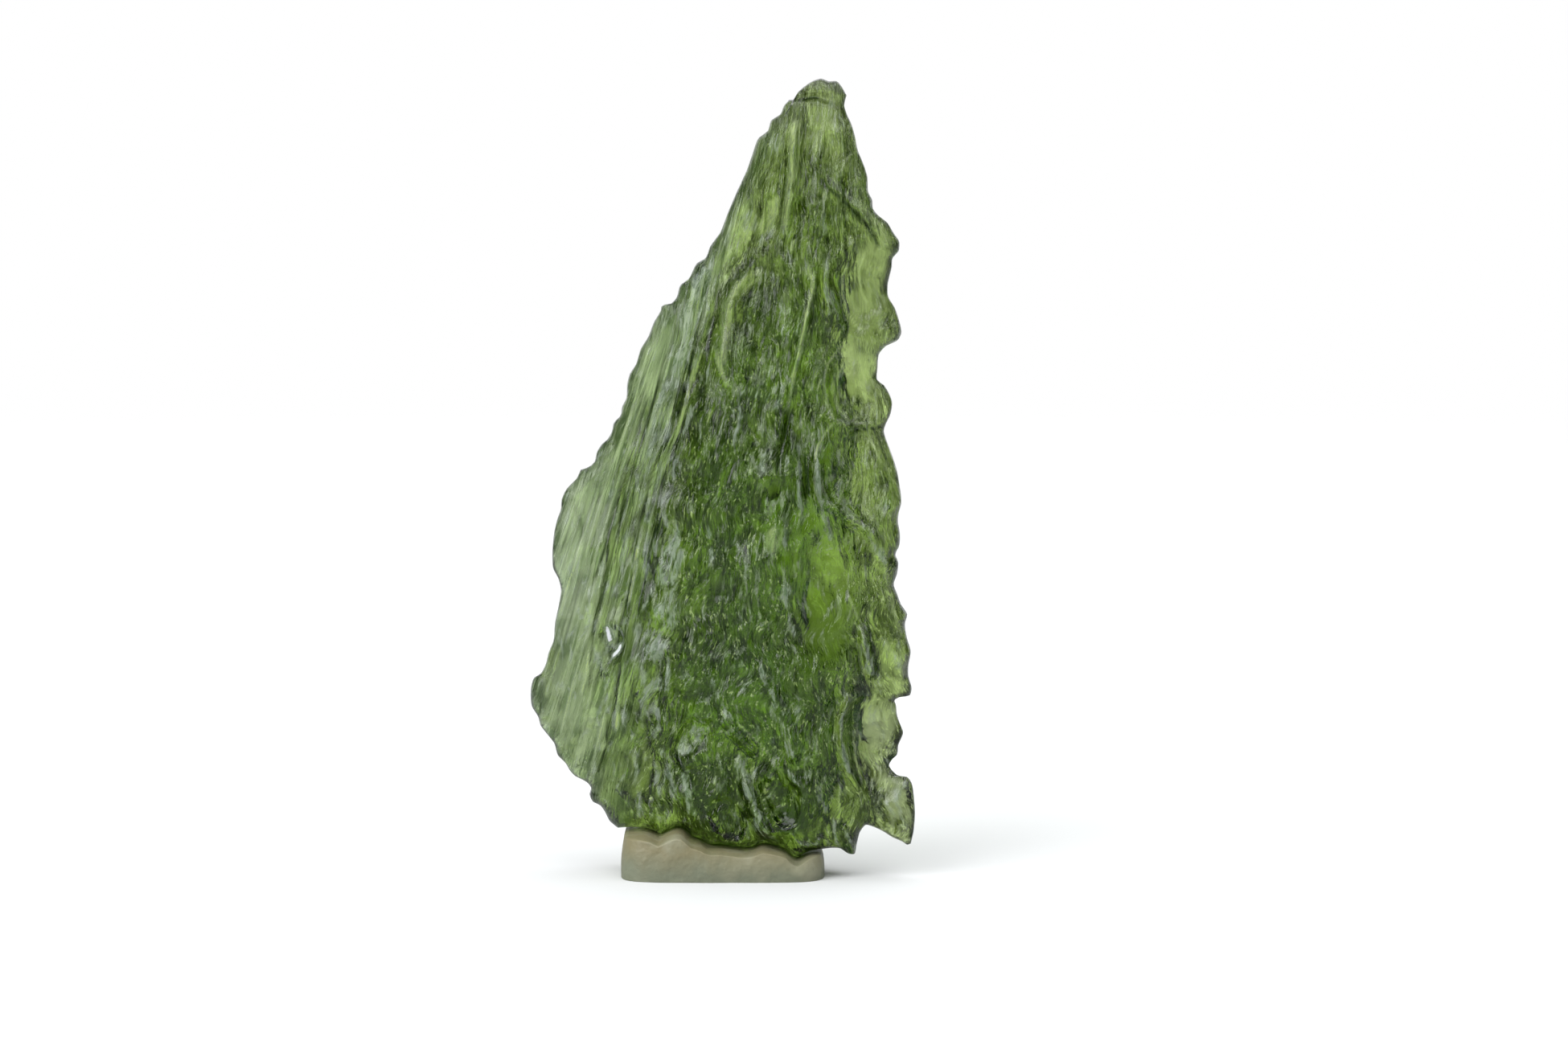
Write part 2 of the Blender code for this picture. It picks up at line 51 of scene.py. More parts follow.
RIGHT_EDGE = [
    9.72, 1.72, 9.85, 2.3, 9.93, 3.3, 9.87, 4.2, 9.72, 4.95, 9.5, 5.2, 9.1, 5.22, 8.85, 5.4,
    8.6, 5.75, 8.75, 6.05, 9, 6.3, 9.07, 6.8, 9.32, 7.5, 9.15, 7.95, 9, 8.4, 8.95, 8.9,
    8.87, 9.15, 9.2, 9.33, 9.6, 9.36, 9.75, 9.75, 9.58, 10.4, 9.58, 10.9, 9.7, 11.7, 9.5, 12.4,
    9.4, 13.1, 9.52, 13.6, 9.2, 14.1, 8.98, 14.7, 8.82, 15.1, 9, 15.7, 9.05, 16.3, 8.9, 16.68,
    9.1, 17.1, 9.13, 17.8, 9.03, 18.4, 9.07, 18.8, 9.2, 19.3, 9.12, 20.2, 8.97, 21, 8.75, 21.7,
    8.5, 22.35, 8.3, 23.05, 8.45, 23.45, 8.62, 23.8, 8.72, 24.5, 8.5, 25.05, 8.25, 25.4,
    8, 25.55, 7.98, 26.2, 8.08, 27, 8.4, 27.35, 9, 27.65, 9.18, 28, 9.05, 28.7, 8.85, 29.3,
    8.5, 29.9, 8.48, 30.5, 8.68, 31.4, 8.72, 31.85, 9.02, 32.2, 9.05, 32.7, 8.75, 33.15,
    8.45, 33.65, 7.95, 34.05, 7.72, 34.35, 7.68, 34.8, 7.48, 35.2, 7.43, 36, 7.2, 36.7,
    6.95, 37.3, 6.78, 38.1, 6.6, 38.7, 6.4, 39.1, 6.25, 39.5, 6.3, 39.85, 6.37, 40.1,
]
BOTTOM_EDGE = [
    -5.45, 2.15, -4.9, 2.2, -4, 2.2, -3.55, 2.08, -3.25, 1.92, -2.9, 2.1, -2.4, 2.32, -2, 2.28,
    -1.65, 1.9, -1.1, 1.72, -0.75, 1.53, 0, 1.5, 0.6, 1.42, 1.2, 1.35, 1.6, 1.4, 2.05, 1.6,
    2.7, 1.5, 3.3, 1.32, 3.65, 0.98, 3.88, 0.88, 4.15, 1.02, 4.5, 1.22, 5.2, 1.32, 6.1, 1.35,
    6.5, 1.1, 6.85, 1.1, 6.95, 1.6, 7.1, 2.2, 7.4, 2.6, 7.85, 2.5, 8.4, 2.25, 8.75, 2.03,
    9.3, 1.8, 9.55, 1.65, 9.72, 1.72,
]
TIP = (5.0, 40.9)  # the glass was drawn out downwards from here, in a fan
# How far the fan leans to the left and widens for each mm below the tip, and how much it wavers.
FAN_LEAN, FAN_SPREAD, FAN_WAVER = 0.04, 0.06, 0.12

# Half thicknesses at chosen places: x, z, towards the front, towards the back.
THICKNESS_SPOTS = [
    (5, 40.5, 0.7, 0.6), (4.3, 38, 1.2, 1), (2.2, 36, 1.2, 0.9), (6.5, 36, 1.2, 1.1),
    (4.5, 33.5, 2.5, 1.9), (1, 33, 1.1, 0.9), (7.8, 32, 1, 0.9), (-1.5, 29, 0.9, 0.8),
    (2.8, 28.5, 2.8, 2.3), (7.3, 29, 1.2, 1.1), (-3.6, 25, 0.9, 0.8), (1, 24.5, 2.7, 2.4),
    (4.5, 24.5, 2.6, 2.2), (7, 25.2, 0.8, 0.8), (-6.5, 20, 0.7, 0.7), (-3.4, 20.5, 1.4, 1.2),
    (0.5, 20, 3, 2.8), (4.3, 20, 2.7, 2.5), (7.6, 20, 1.7, 1.5), (-7.8, 16, 0.6, 0.6),
    (-5, 15.5, 1.2, 1.1), (-1.2, 15.5, 3.1, 2.9), (2.4, 15.5, 3.1, 2.9), (5.4, 15, 2.2, 2.1),
    (8.2, 14.5, 1.3, 1.3), (-8.8, 9.5, 0.6, 0.6), (-6.4, 10, 1, 1), (-3.5, 10, 2.1, 1.8),
    (-0.5, 10, 3.2, 3), (3.5, 10, 3.1, 3), (6.2, 11, 2.4, 2.2), (8.8, 11, 1, 1),
    (-7.4, 6, 0.8, 0.8), (-4.5, 5, 1.8, 1.5), (-0.5, 5, 2.9, 2.6), (3.5, 5, 3, 2.8),
    (5.9, 5.5, 2.3, 2), (7.7, 7, 0.7, 0.7), (9.1, 3.6, 0.5, 0.5), (8.7, 7.8, 0.5, 0.5),
    (-3, 2.6, 1.6, 1.4), (2, 2.2, 1.9, 1.7), (5.8, 2.2, 1.4, 1.2),
]
SPOT_REACH = 1.7  # how far each of those places is felt
SPOT_UPWARD = 0.6  # a step up or down counts as this much of a step aside
THICKNESS_WANDER = 0.45  # how far the change from thin to thick strays to the left and right
THINNEST_HALF, THINNEST_SHARE = 0.16, 0.1  # least half thickness, and the share of it added
RIM_ROUND = 0.3  # the rim's rounding, to which a thick place adds a share of its half thickness
RIM_ROUND_SHARE = 0.4
RIM_STEPS = 253  # points along each long edge, one more than a multiple of four
SWING = -0.16  # the left edge stands back and the right edge comes forward, by this much per mm
SWAY = 0.45  # how far the middle of the stone sways to the front and the back

# Scoops left by flakes and etching: x, z, half width, half height, lean in degrees to the right,
# depth and, for some, the direction in degrees in which the scoop runs out flat.
FRONT_SCOOPS = [
    (2.3, 28.7, 1.5, 3.1, 4, 0.55),
    (2.65, 33.9, 0.5, 1.1, 15, 0.35),
    (5.75, 37.2, 0.75, 1.3, 5, 0.35),
    (6.75, 36.1, 0.6, 1.2, 0, 0.3, 0),
    (7.7, 30.3, 2.1, 2.5, 8, 0.35, 0),
    (6.6, 25.4, 1.5, 2.2, 0, 0.3, 30),
    (7.3, 20.9, 2.3, 2.5, 12, 0.7, 60),
    (5.2, 15.4, 1.35, 2.9, -3, 0.4, -90),
    (-5.7, 11.9, 0.65, 1.15, 12, 0.45),
    (-1.5, 7.4, 0.8, 1.5, 24, 0.45),
    (7.8, 6.9, 1.5, 3.1, -6, 0.6, 0),
    (0.3, 3.1, 0.8, 1.3, -15, 0.35),
    (3.1, 4.2, 0.9, 1.6, -22, 0.5),
    (-2.5, 17, 0.7, 2, 6, 0.3),
    (1.6, 18.6, 1.1, 2.2, 0, 0.35),
    (-6.9, 6.7, 1.3, 1.9, 18, 0.25, 200),
]
BACK_SCOOPS = [
    (3.9, 33, 1.2, 3.4, 4, 0.5),
    (0.3, 29.3, 1.2, 3, 18, 0.45),
    (6.4, 28.2, 1.4, 2.6, -4, 0.5, 0),
    (2.6, 22.3, 1.5, 3.6, 6, 0.65),
    (-3.6, 20.8, 1.4, 3.3, 20, 0.4, 180),
    (7.2, 19, 1.4, 3, -8, 0.5, 0),
    (-0.9, 14.2, 1.6, 3.7, 8, 0.7),
    (4.2, 12, 1.5, 3.3, -6, 0.65, -90),
    (-6.2, 12.4, 1.3, 2.9, 12, 0.35, 180),
    (7.6, 9, 1.2, 2.6, -4, 0.4, 0),
    (1, 5.2, 1.6, 2.5, -10, 0.6, -90),
    (-3.9, 5.4, 1.3, 2.2, 14, 0.45),
    (5.6, 4.1, 1.1, 1.9, -14, 0.45),
]

RIDGE_GAIN = 1.4  # how much higher than listed the ridges stand
# Ridges, and grooves where the height is negative: half width, height, then x and z of each point.
FRONT_RIDGES = [
    (0.3, 0.35, 3.85, 38.9, 3.6, 36.6, 3.45, 34.9, 3.2, 32.6),
    (0.22, 0.25, 4.95, 33.3, 4.75, 30.3, 4, 27.4, 3.1, 24.2, 2.8, 22.1),
    (0.35, 0.35, 1.7, 31.5, 0.55, 30.3, 0.1, 28.4, -0.1, 26.3),
    (0.3, 0.32, 5.15, 35.9, 6.1, 34.95, 7.1, 34.1, 7.95, 32.7),
    (0.28, 0.32, 5.3, 32, 5.4, 30.2, 5.8, 28.6, 6.3, 27.4),
    (0.2, -0.3, 3.85, 40.02, 4.9, 40.05, 5.9, 39.75),
    (0.25, 0.3, 5.5, 26.9, 5.3, 25.2, 5.7, 23.7, 6.7, 23.25, 8.2, 23.3),
    (0.25, 0.3, 4.85, 23, 4.8, 21.3, 5.2, 19.7, 6.4, 18.9, 7.6, 18, 8.7, 16.6),
    (0.22, 0.35, 3.6, 22.9, 3.8, 21, 4.1, 19.2),
    (0.28, 0.3, 7.1, 13.2, 7.4, 11.8, 7.8, 10.2),
    (0.22, 0.3, 7.5, 9.7, 6.5, 9.3, 6.1, 8.3, 6.3, 6.6, 6.9, 5.2, 7.4, 4.2),
    (0.25, 0.25, -0.3, 8.9, 0.9, 7.4, 1.9, 6.3),
    (0.28, 0.3, 1.9, 11.5, 2.9, 9.5, 3.6, 7.4, 3.7, 5.8),
    (0.35, 0.4, 1, 5.6, 1.6, 3.7, 2.6, 1.9),
    (0.2, 0.2, -0.3, 30.8, -1.3, 27, -2.4, 23.1, -3.9, 19.9),
    (0.22, 0.22, -4.6, 20.6, -5.2, 18, -5.9, 15, -6.9, 10.4),
    (0.18, 0.2, -4.1, 17.2, -4.7, 14, -5.1, 11, -5.6, 7.4),
    (0.3, 0.25, -2.9, 13, -2.8, 10, -2.9, 7.6, -2.5, 5.2, -1.5, 2.9),
    (0.25, -0.25, 0.9, 23.9, 2, 22.5, 2.2, 20.8),
]
BACK_RIDGES = [
    (0.3, 0.3, 4.9, 38.4, 4.8, 34.5, 5.2, 30, 5.1, 26),
    (0.28, 0.28, 2.3, 34.5, 1.7, 30, 0.6, 25.5, -0.4, 21),
    (0.32, 0.32, 4.3, 24.5, 4.5, 22, 4.8, 19.4),
    (0.28, 0.25, -2.6, 26, -4.6, 20, -5.6, 15),
    (0.32, 0.3, 1.1, 18.5, 1.3, 13, 2.1, 8, 3.3, 4),
    (0.25, 0.28, -3.2, 13.5, -3.4, 9, -2.3, 4),
    (0.25, -0.06, -7.5, 18.5, -7.9, 13, -7.4, 8),
]

# Where the thin flange at the left ends and the body begins: x at each height.
FLANGE_HEIGHTS = (5, 10, 15, 20, 25, 31, 36, 40)
FLANGE_ENDS = (-4.8, -4, -3.4, -2.8, -1.9, 0, 1.8, 3.6)
FLANGE_BLEND = 1.6  # width of the change from one to the other

# Long flutes that follow the fan: how many across, how many along, and how high.
FLUTES = ((2.6, 0.10, 0.20), (6.0, 0.22, 0.12), (13.0, 0.45, 0.07))
LUMPS = (3.2, 5.5, 0.30)  # broad swells: width, length, height
# Scallops are shallow cells with sharp crests between them: how many across, along, how deep.
SCALLOPS = ((2.0, 0.42, 0.26), (4.6, 1.2, 0.11))
LEDGES = ((0.9, 0.11, 0.22), (1.9, 0.25, 0.13))  # flakes: how many across, along, how high
SCOOP_WANDER = 0.35  # how far a scoop's edge strays from its oval
LIP_HEIGHT, LIP_AT, LIP_WIDTH = 0.25, 1.05, 0.22  # share of the depth, share of the oval, width
OPEN_END = 0.35  # share of a scoop's depth that is left where it runs out
RING_HEIGHT = 0.05  # ripples around the middle of each scoop
FINE_WHERE_THIN, FINE_WHERE_THICK = 0.3, 0.75  # shares of the flutes, scallops and ledges
FINE_FADE, FINE_FADE_ON_FLANGE = 0.95, 0.3  # what smooth spots and the flange take off them
FINE_FROM, FINE_OVER = 0.6, 1.6  # half thickness where they grow stronger, and over how much more
RIDGE_TAPER, STROKE_TAPER = 0.2, 0.15  # shares of a line over which each end fades

# Threads, cracks and frosted streaks seen on the front: half width, how light they are (lighter
# raised threads carry a partly painted highlight; below 0 is a crack painted dark, a painted
# shade), how frosted they are, with a painted sheen (3 paints a white glint, a painted highlight),
# then x and z of each point.
FRONT_STROKES = [
    (0.1, -1, 0, 3.8, 39.8, 4.3, 39.9, 4.7, 40, 5.05, 39.9),
    (0.08, -0.6, 0, 5, 39.85, 5.6, 39.65, 5.95, 39.5),
    (0.26, -0.35, 0, 3.7, 39.6, 3, 38.9, 2.5, 38.3),
    (0.27, 0.65, 0.25, 3.9, 39.2, 3.65, 38.3, 3.62, 36.5, 3.45, 35, 3.25, 33.6, 3.1, 32.7),
    (0.07, 0.5, 0, 4.05, 39.7, 4, 38.5, 3.95, 37, 3.85, 35.9),
    (0.06, -0.5, 0, 4.15, 39.8, 4.2, 38.8, 4.3, 37.9),
    (0.07, 0.6, 0, 4.45, 39.8, 4.5, 39.2, 4.6, 38.4),
    (0.07, 0.5, 0, 5, 38.3, 4.72, 37.1, 4.68, 36.5, 4.85, 35.9, 5.05, 35.4),
    (0.08, 0.5, 0, 5.9, 37.9, 5.35, 37.3, 5.15, 36.7, 5.3, 36.1),
    (0.1, 0.5, 0, 7.05, 37.3, 6.6, 37.15, 6.2, 36.7, 6.1, 35.8),
    (0.13, -0.9, 0, 4.9, 36.1, 5.3, 35.5, 6.1, 34.9, 6.6, 34.35, 7.15, 33.75),
    (0.1, -1, 0, 7.2, 33.8, 7.5, 33.3, 7.8, 32.9, 8, 32.3),
    (0.4, 0.45, 0, 6.5, 34.9, 7.2, 34.4, 7.8, 33.6, 8.2, 32.9, 8.4, 32.2),
    (0.1, -0.6, 0, 7.9, 34, 8.4, 33.6, 8.8, 33),
    (0.13, 0.45, 0, 4.1, 34.5, 4.9, 34.65, 5.6, 35.05),
    (0.13, 0, 0.9, 5.4, 34.4, 5.2, 33.7, 5.35, 33),
    (0.25, 0, 0.5, 2.4, 33.1, 2.8, 32.8, 3.1, 32.4),
    (0.1, 0.9, 0, 3.72, 32.9, 3.6, 32.5, 3.55, 32.1),
    (0.27, 0.8, 0, 2.4, 31.4, 1.6, 31, 0.85, 30.4, 0.42, 29.6, 0.32, 28.4, 0.15, 27.2, -0.1, 25.9),
    (0.12, 0.7, 0, 2.1, 30.8, 1.4, 30.5, 1, 29.8),
    (0.08, 0.6, 0, 0.25, 31.2, 0.1, 30, 0.02, 29, -0.05, 27.8),
    (0.16, 0.7, 0, -0.35, 27.4, -0.15, 26.6, 0.1, 25.9, 0.4, 25.2),
    (0.1, 0.5, 0, 0, 27.3, 0.25, 26.6, 0.55, 25.9),
    (0.1, 0.55, 0, 0.85, 28.8, 1.05, 27.9, 1.45, 27.1),
    (0.09, -0.8, 0, 0.72, 30, 0.68, 29.2, 0.8, 28.3),
    (0.28, 0.35, 0, 3.3, 30.7, 3.3, 29.6, 3.15, 28.5, 3, 27.7),
    (0.13, 0.8, 0.2, 4.75, 31.7, 4.6, 30.3, 4.25, 28.7, 4, 27.2, 3.7, 25.9, 3.4, 24.4, 3.25, 23.4),
    (0.08, 0.9, 0.5, 4.1, 27.4, 3.95, 26.9, 3.75, 26.2, 3.65, 25.8),
    (0.24, 0.1, 0.9, 3.25, 25.7, 3, 24.8, 2.75, 24),
    (0.08, 0.7, 0.3, 4.3, 25.8, 4.45, 25.4, 4.65, 25),
    (0.18, 0.1, 0.6, 0.6, 25.2, 1.2, 25.15, 1.9, 24.9, 2.5, 24.95, 2.9, 25.4),
    (0.15, 0.1, 0.9, 0.7, 25, 0.9, 24.2, 0.95, 23.5, 0.7, 22.9, 0.8, 22.2),
    (0.08, 0.1, 0.7, 1.2, 25, 1.3, 24.2),
    (0.2, 0.1, 0.85, 1.9, 23.6, 2.05, 22.6, 2.1, 21.7, 2, 20.6),
    (0.18, 0.1, 1, 3.85, 22.8, 3.95, 21.6, 3.92, 20.4, 3.9, 19.7, 4.1, 19.1),
    (0.1, 0.1, 0.8, 3.45, 22.5, 3.3, 21.2, 3.35, 20.3, 3.55, 19.6),
    (0.16, -0.8, 0, 3.6, 24.5, 3.35, 23.2, 3, 22.1, 2.85, 21),
    (0.18, -0.7, 0, 4.3, 22.2, 4.35, 20.8, 4.45, 19.6),
    (0.09, 0.8, 0, 5.75, 23.6, 5.2, 22.9, 4.85, 22.3, 4.72, 21.5),
    (0.2, 0.25, 0.9, 4.85, 22.2, 4.9, 20.6, 5.05, 19.2, 5.4, 18.1, 5.9, 16.9),
    (0.08, 0.2, 0.6, 5.15, 21.3, 5.3, 20.1, 5.4, 19.1),
    (0.1, 0.2, 0.8, 5.35, 31.9, 5.28, 30.6, 5.35, 29.8, 5.6, 29),
    (0.14, 0.2, 0.8, 5.6, 30.6, 5.75, 29.4, 6, 28.7, 6.3, 28),
    (0.07, -0.9, 0, 5.45, 29.1, 5.75, 28.6, 6.05, 28.1),
    (0.09, 0.7, 0, 6.6, 31.9, 6.2, 31, 6.15, 30, 6.4, 29.1, 6.9, 28.4, 7.6, 27.9),
    (0.07, 0.5, 0, 7.4, 32.4, 7, 31.3, 7.1, 30.2, 7.5, 29.4),
    (0.08, -0.4, 0, 7, 32.6, 6.7, 31.4, 6.75, 30.2, 7.1, 29.2),
    (0.09, 0.75, 0, 6.7, 27.7, 6, 27.3, 5.4, 26.5, 5.2, 25.6, 5.4, 24.4, 5.8, 23.6, 6.8, 23),
    (0.17, 0.5, 0, 5.8, 26.2, 5.65, 25.2, 5.9, 24.3, 6.5, 23.6, 7.3, 23.4, 8.2, 23.5),
    (0.07, 0.6, 0, 6.3, 26.7, 6.1, 26.2, 5.9, 25.6),
    (0.1, -1, 0, 6.6, 23, 7, 23.15, 7.8, 23.2, 8.5, 23.35),
    (0.1, -0.6, 0, 6.4, 25.2, 6.5, 24.8, 6.7, 24.4),
    (0.13, -0.6, 0, 7.1, 24.9, 7.3, 24.5, 7.8, 24.5),
    (0.1, 0.5, 0, 7.4, 23.1, 7.8, 22.2, 8.2, 21.3),
    (0.06, -0.8, 0, 7.9, 23, 8.2, 22.1, 8.55, 21.3),
    (0.18, 0.4, 0.7, 6.2, 21.1, 6, 20.1, 6.3, 19.1, 6.9, 18.5, 7.6, 18, 8.3, 18.2),
    (0.07, 0.6, 0, 6.6, 20.4, 6.9, 19.5, 7.3, 18.9, 7.9, 18.6),
    (0.06, 0.5, 0, 7.1, 20.4, 7.25, 19.7, 7.5, 19),
    (0.18, 0.4, 0.7, 7.5, 18.1, 7.8, 17.2, 8.1, 16.7, 8.5, 16.2),
    (0.12, 0.4, 0.2, 8.3, 16.7, 8.4, 15.6, 8.7, 14.6, 8.9, 13.4, 9.35, 12.3),
    (0.07, 0.5, 0, 6.2, 17.7, 6.7, 17.4, 7.2, 17.3),
    (0.12, 0.2, 0.9, 2.95, 16.9, 3.15, 15.9, 3.4, 15.3, 3.55, 14.7),
    (0.16, 0.1, 0.9, 3.3, 15.4, 3.3, 14.3, 3.5, 13.4, 3.8, 12.4),
    (0.09, 0.3, 0.8, 0.9, 17.4, 1.25, 16.6, 1.25, 15.6, 1.4, 14.2, 1.75, 12.5),
    (0.07, 0.3, 0.7, 1.8, 16.8, 1.95, 15.6, 1.8, 14.8, 2.15, 13),
    (0.06, 0.3, 0.7, 0.35, 16.8, 0.55, 16, 0.5, 15.4, 0.8, 15.1),
    (0.12, 0.1, 0.8, 0.4, 17.8, 0.8, 17.3, 1.1, 16.9),
    (0.14, 0.1, 0.8, 3.25, 18.5, 3.2, 17.8, 3.25, 17),
    (0.22, 0.3, 0.9, 7.1, 13.6, 7.25, 12.6, 7.5, 11.4, 7.85, 10.2),
    (0.1, 0.5, 0, 6.4, 14.9, 6.7, 14.2, 7, 13.4),
    (0.25, 0.4, 0.3, 8.1, 12.6, 8.6, 11.8, 9.2, 11, 9.4, 10.4),
    (0.06, -0.7, 0, -4.9, 21.2, -5.2, 18.6, -5.5, 16.4, -6.2, 14.5),
    (0.06, -0.9, 0, -6.1, 14.9, -6.6, 13.2, -6.85, 11, -6.9, 9.1),
    (0.1, 0.7, 0, -4.95, 21.1, -5.15, 20, -5.3, 19, -5.55, 17.8),
    (0.08, 0.6, 0, -5.4, 17.4, -5.6, 16.3, -5.95, 15.1),
    (0.09, 0.6, 0, -6.15, 14, -6.5, 12.9, -6.9, 11.6, -7, 9.9),
    (0.14, 1, 0, -4.3, 17.2, -4.45, 16.2, -4.6, 15.2, -4.85, 13.8),
    (0.12, 0.9, 0, -4.95, 11.4, -5.15, 10, -5.4, 8.6, -5.5, 7.2),
    (0.06, -0.8, 0, -4.95, 10.8, -5.1, 9.5, -5.3, 8.1),
    (0.07, 0.6, 0, -2.95, 19.9, -3.1, 19.1, -3.25, 18.3),
    (0.06, 0.6, 0, -2.45, 20.8, -2.25, 20, -2.2, 19.3),
    (0.07, 0.7, 0, -3.45, 17.5, -3.6, 16.9, -3.75, 16.2),
    (0.06, 0.5, 0, -4.4, 11.5, -4.45, 10.3, -4.2, 9, -4, 7.8),
    (0.28, 0.1, 0.45, -6.5, 17.4, -6.5, 16, -6.65, 14.9, -7, 13.4),
    (0.12, -0.45, 0, -7.7, 19.6, -7.5, 18.6, -7.2, 18, -7.2, 17),
    (0.1, -0.6, 0, -6.25, 20.3, -6.3, 19.7, -6.45, 19.1),
    (0.05, -0.5, 0, -9.3, 10.3, -9.45, 9, -9.5, 8),
    (0.05, -0.4, 0, -8.3, 9.6, -8.5, 8.4, -8.6, 7.2),
    # two painted glints, white where a facet would mirror the light
    (0.14, 0.1, 3, -6, 12.9, -5.87, 12.45, -5.75, 12),
    (0.09, 0.1, 3, -5.15, 12.1, -5.35, 11.6, -5.8, 11.1),
    (0.3, 0.1, 0.6, -5.8, 12.8, -5.75, 12.1, -5.6, 11.3),
    (0.22, 0.1, 0.8, -2.95, 12.4, -2.85, 11.2, -2.75, 10.3, -2.95, 9.4),
    (0.2, 0.1, 0.8, -3.4, 8.9, -3.1, 8, -3.7, 7.1),
    (0.25, 0.1, 0.7, -4.5, 6.8, -4.4, 5.4, -4.3, 3.8, -4.1, 2.8),
    (0.2, 0.1, 0.85, -3.1, 6.7, -2.75, 5.6, -2.6, 4.6, -2.6, 3.4),
    (0.15, 0.1, 0.75, -3.35, 6.1, -3.3, 4.6, -3.2, 3.2),
    (0.22, 0.1, 0.75, -2.1, 5.7, -1.7, 4.3, -1.5, 3),
    (0.15, -0.9, 0, -2.7, 6.8, -2.2, 6.1, -1.6, 5, -1.4, 4.1),
    (0.14, -0.7, 0, -3.6, 5.6, -3.7, 4.8, -3.65, 3.8),
    (0.32, 0.05, 0.6, -0.9, 31.6, -1.3, 30.2, -1.6, 28.9, -2, 27.2, -2.5, 25.8),
    (0.28, 0.05, 0.7, -2.5, 25.8, -3, 24.4, -3.4, 23.4, -3.8, 20.9),
    (0.14, 0.1, 0.9, -1.4, 24.7, -1.8, 23.3, -2.1, 22.2, -2.5, 21),
    (0.09, 0.8, 0, -0.4, 28.8, -0.9, 27.2, -1.4, 26, -1.9, 24.2, -2.45, 22.1),
    (0.08, 0.6, 0, -0.5, 31, -0.7, 29.6, -1, 28.6, -1.4, 27.3),
    (0.06, -0.8, 0, 0, 30.8, -0.35, 29.2, -0.6, 28.2, -1.25, 26),
    (0.1, -0.7, 0, -0.25, 29, -0.6, 27.9, -0.75, 27),
    (0.06, -0.8, 0, -1.9, 23.8, -2.3, 22.4, -2.55, 21),
    (0.13, 0.2, 0.85, -0.8, 11, -0.3, 10, -0.15, 9.2, 0.25, 8.7, 0.8, 8.2),
    (0.1, 0.2, 0.5, -0.2, 10.8, 0.3, 10, 0.7, 9.3),
    (0.07, 0.8, 0, 0.6, 8.4, 1.3, 7.7, 2, 7.05, 2.7, 6.2),
    (0.13, 0.2, 0.95, 1.8, 11.6, 2.2, 10.4, 2.6, 9.7, 2.9, 9, 3.5, 8.4),
    (0.17, 0.2, 0.9, 2.85, 8.8, 3.2, 7.9, 3.4, 7.2, 3.7, 6.1),
    (0.08, 0.3, 0.5, 3.45, 9.7, 3.75, 8.9, 3.9, 8.3, 4.4, 7.6),
    (0.2, 0.35, 0, 2.3, 6.5, 3, 5.6, 3.4, 5, 4, 3.9),
    (0.28, 0.2, 1, 0.85, 6.6, 1.1, 5.6, 1.4, 4.5, 1.8, 3.6, 2.3, 2.6, 2.9, 1.8),
    (0.2, 0.1, 0.5, -0.3, 6.7, 0, 5.5, -0.15, 4.5),
    (0.08, 0.2, 0.8, 3.35, 5.9, 3.7, 5.3, 4.1, 4.85),
    (0.12, 0.2, 0.8, 4.95, 5.1, 5.15, 4.2, 5.4, 3.3),
    (0.1, 0.2, 0.9, 5.7, 3.3, 5.8, 2.4, 5.95, 1.6),
    (0.06, -1, 0, 5.58, 3.3, 5.65, 2.6, 5.7, 1.8),
    (0.08, 0.4, 0.4, 6.1, 5.2, 6, 4.2, 6.05, 3.3),
    (0.14, 0.2, 0.7, 6.1, 2.9, 6.5, 2, 6.95, 1.6),
    (0.14, 0.2, 0.8, 3.9, 1.95, 4.4, 1.7, 4.9, 1.8, 5.05, 2.3),
    (0.12, -0.9, 0, 3.7, 1.8, 4.3, 1.4, 5.2, 1.45, 6, 1.5, 6.6, 1.4),
    (0.09, 0.3, 0.7, 7.4, 9.7, 6.5, 9.2, 6.1, 8.5, 6.15, 7.2, 6.4, 6.2, 6.65, 5.3),
    (0.08, 0.9, 0.4, 6.85, 7.1, 6.85, 6.2, 7, 5.6, 7.25, 4.9),
    (0.14, 0.2, 0.8, 6.15, 6.9, 6.35, 6.2, 6.6, 5.3),
    (0.12, -0.5, 0, 6.2, 8.9, 6.7, 9.6, 7.3, 9.9, 8.3, 9.9, 8.9, 9.7),
    (0.07, -0.3, 0, 8, 9.3, 8.15, 8, 8.1, 6.4, 8.5, 5.6, 8.6, 4.5, 8.1, 3.6, 7.5, 3.9),
    (0.08, -0.6, 0, 9.7, 5.1, 9.85, 3.8, 9.8, 2.6, 9.5, 1.7),
]
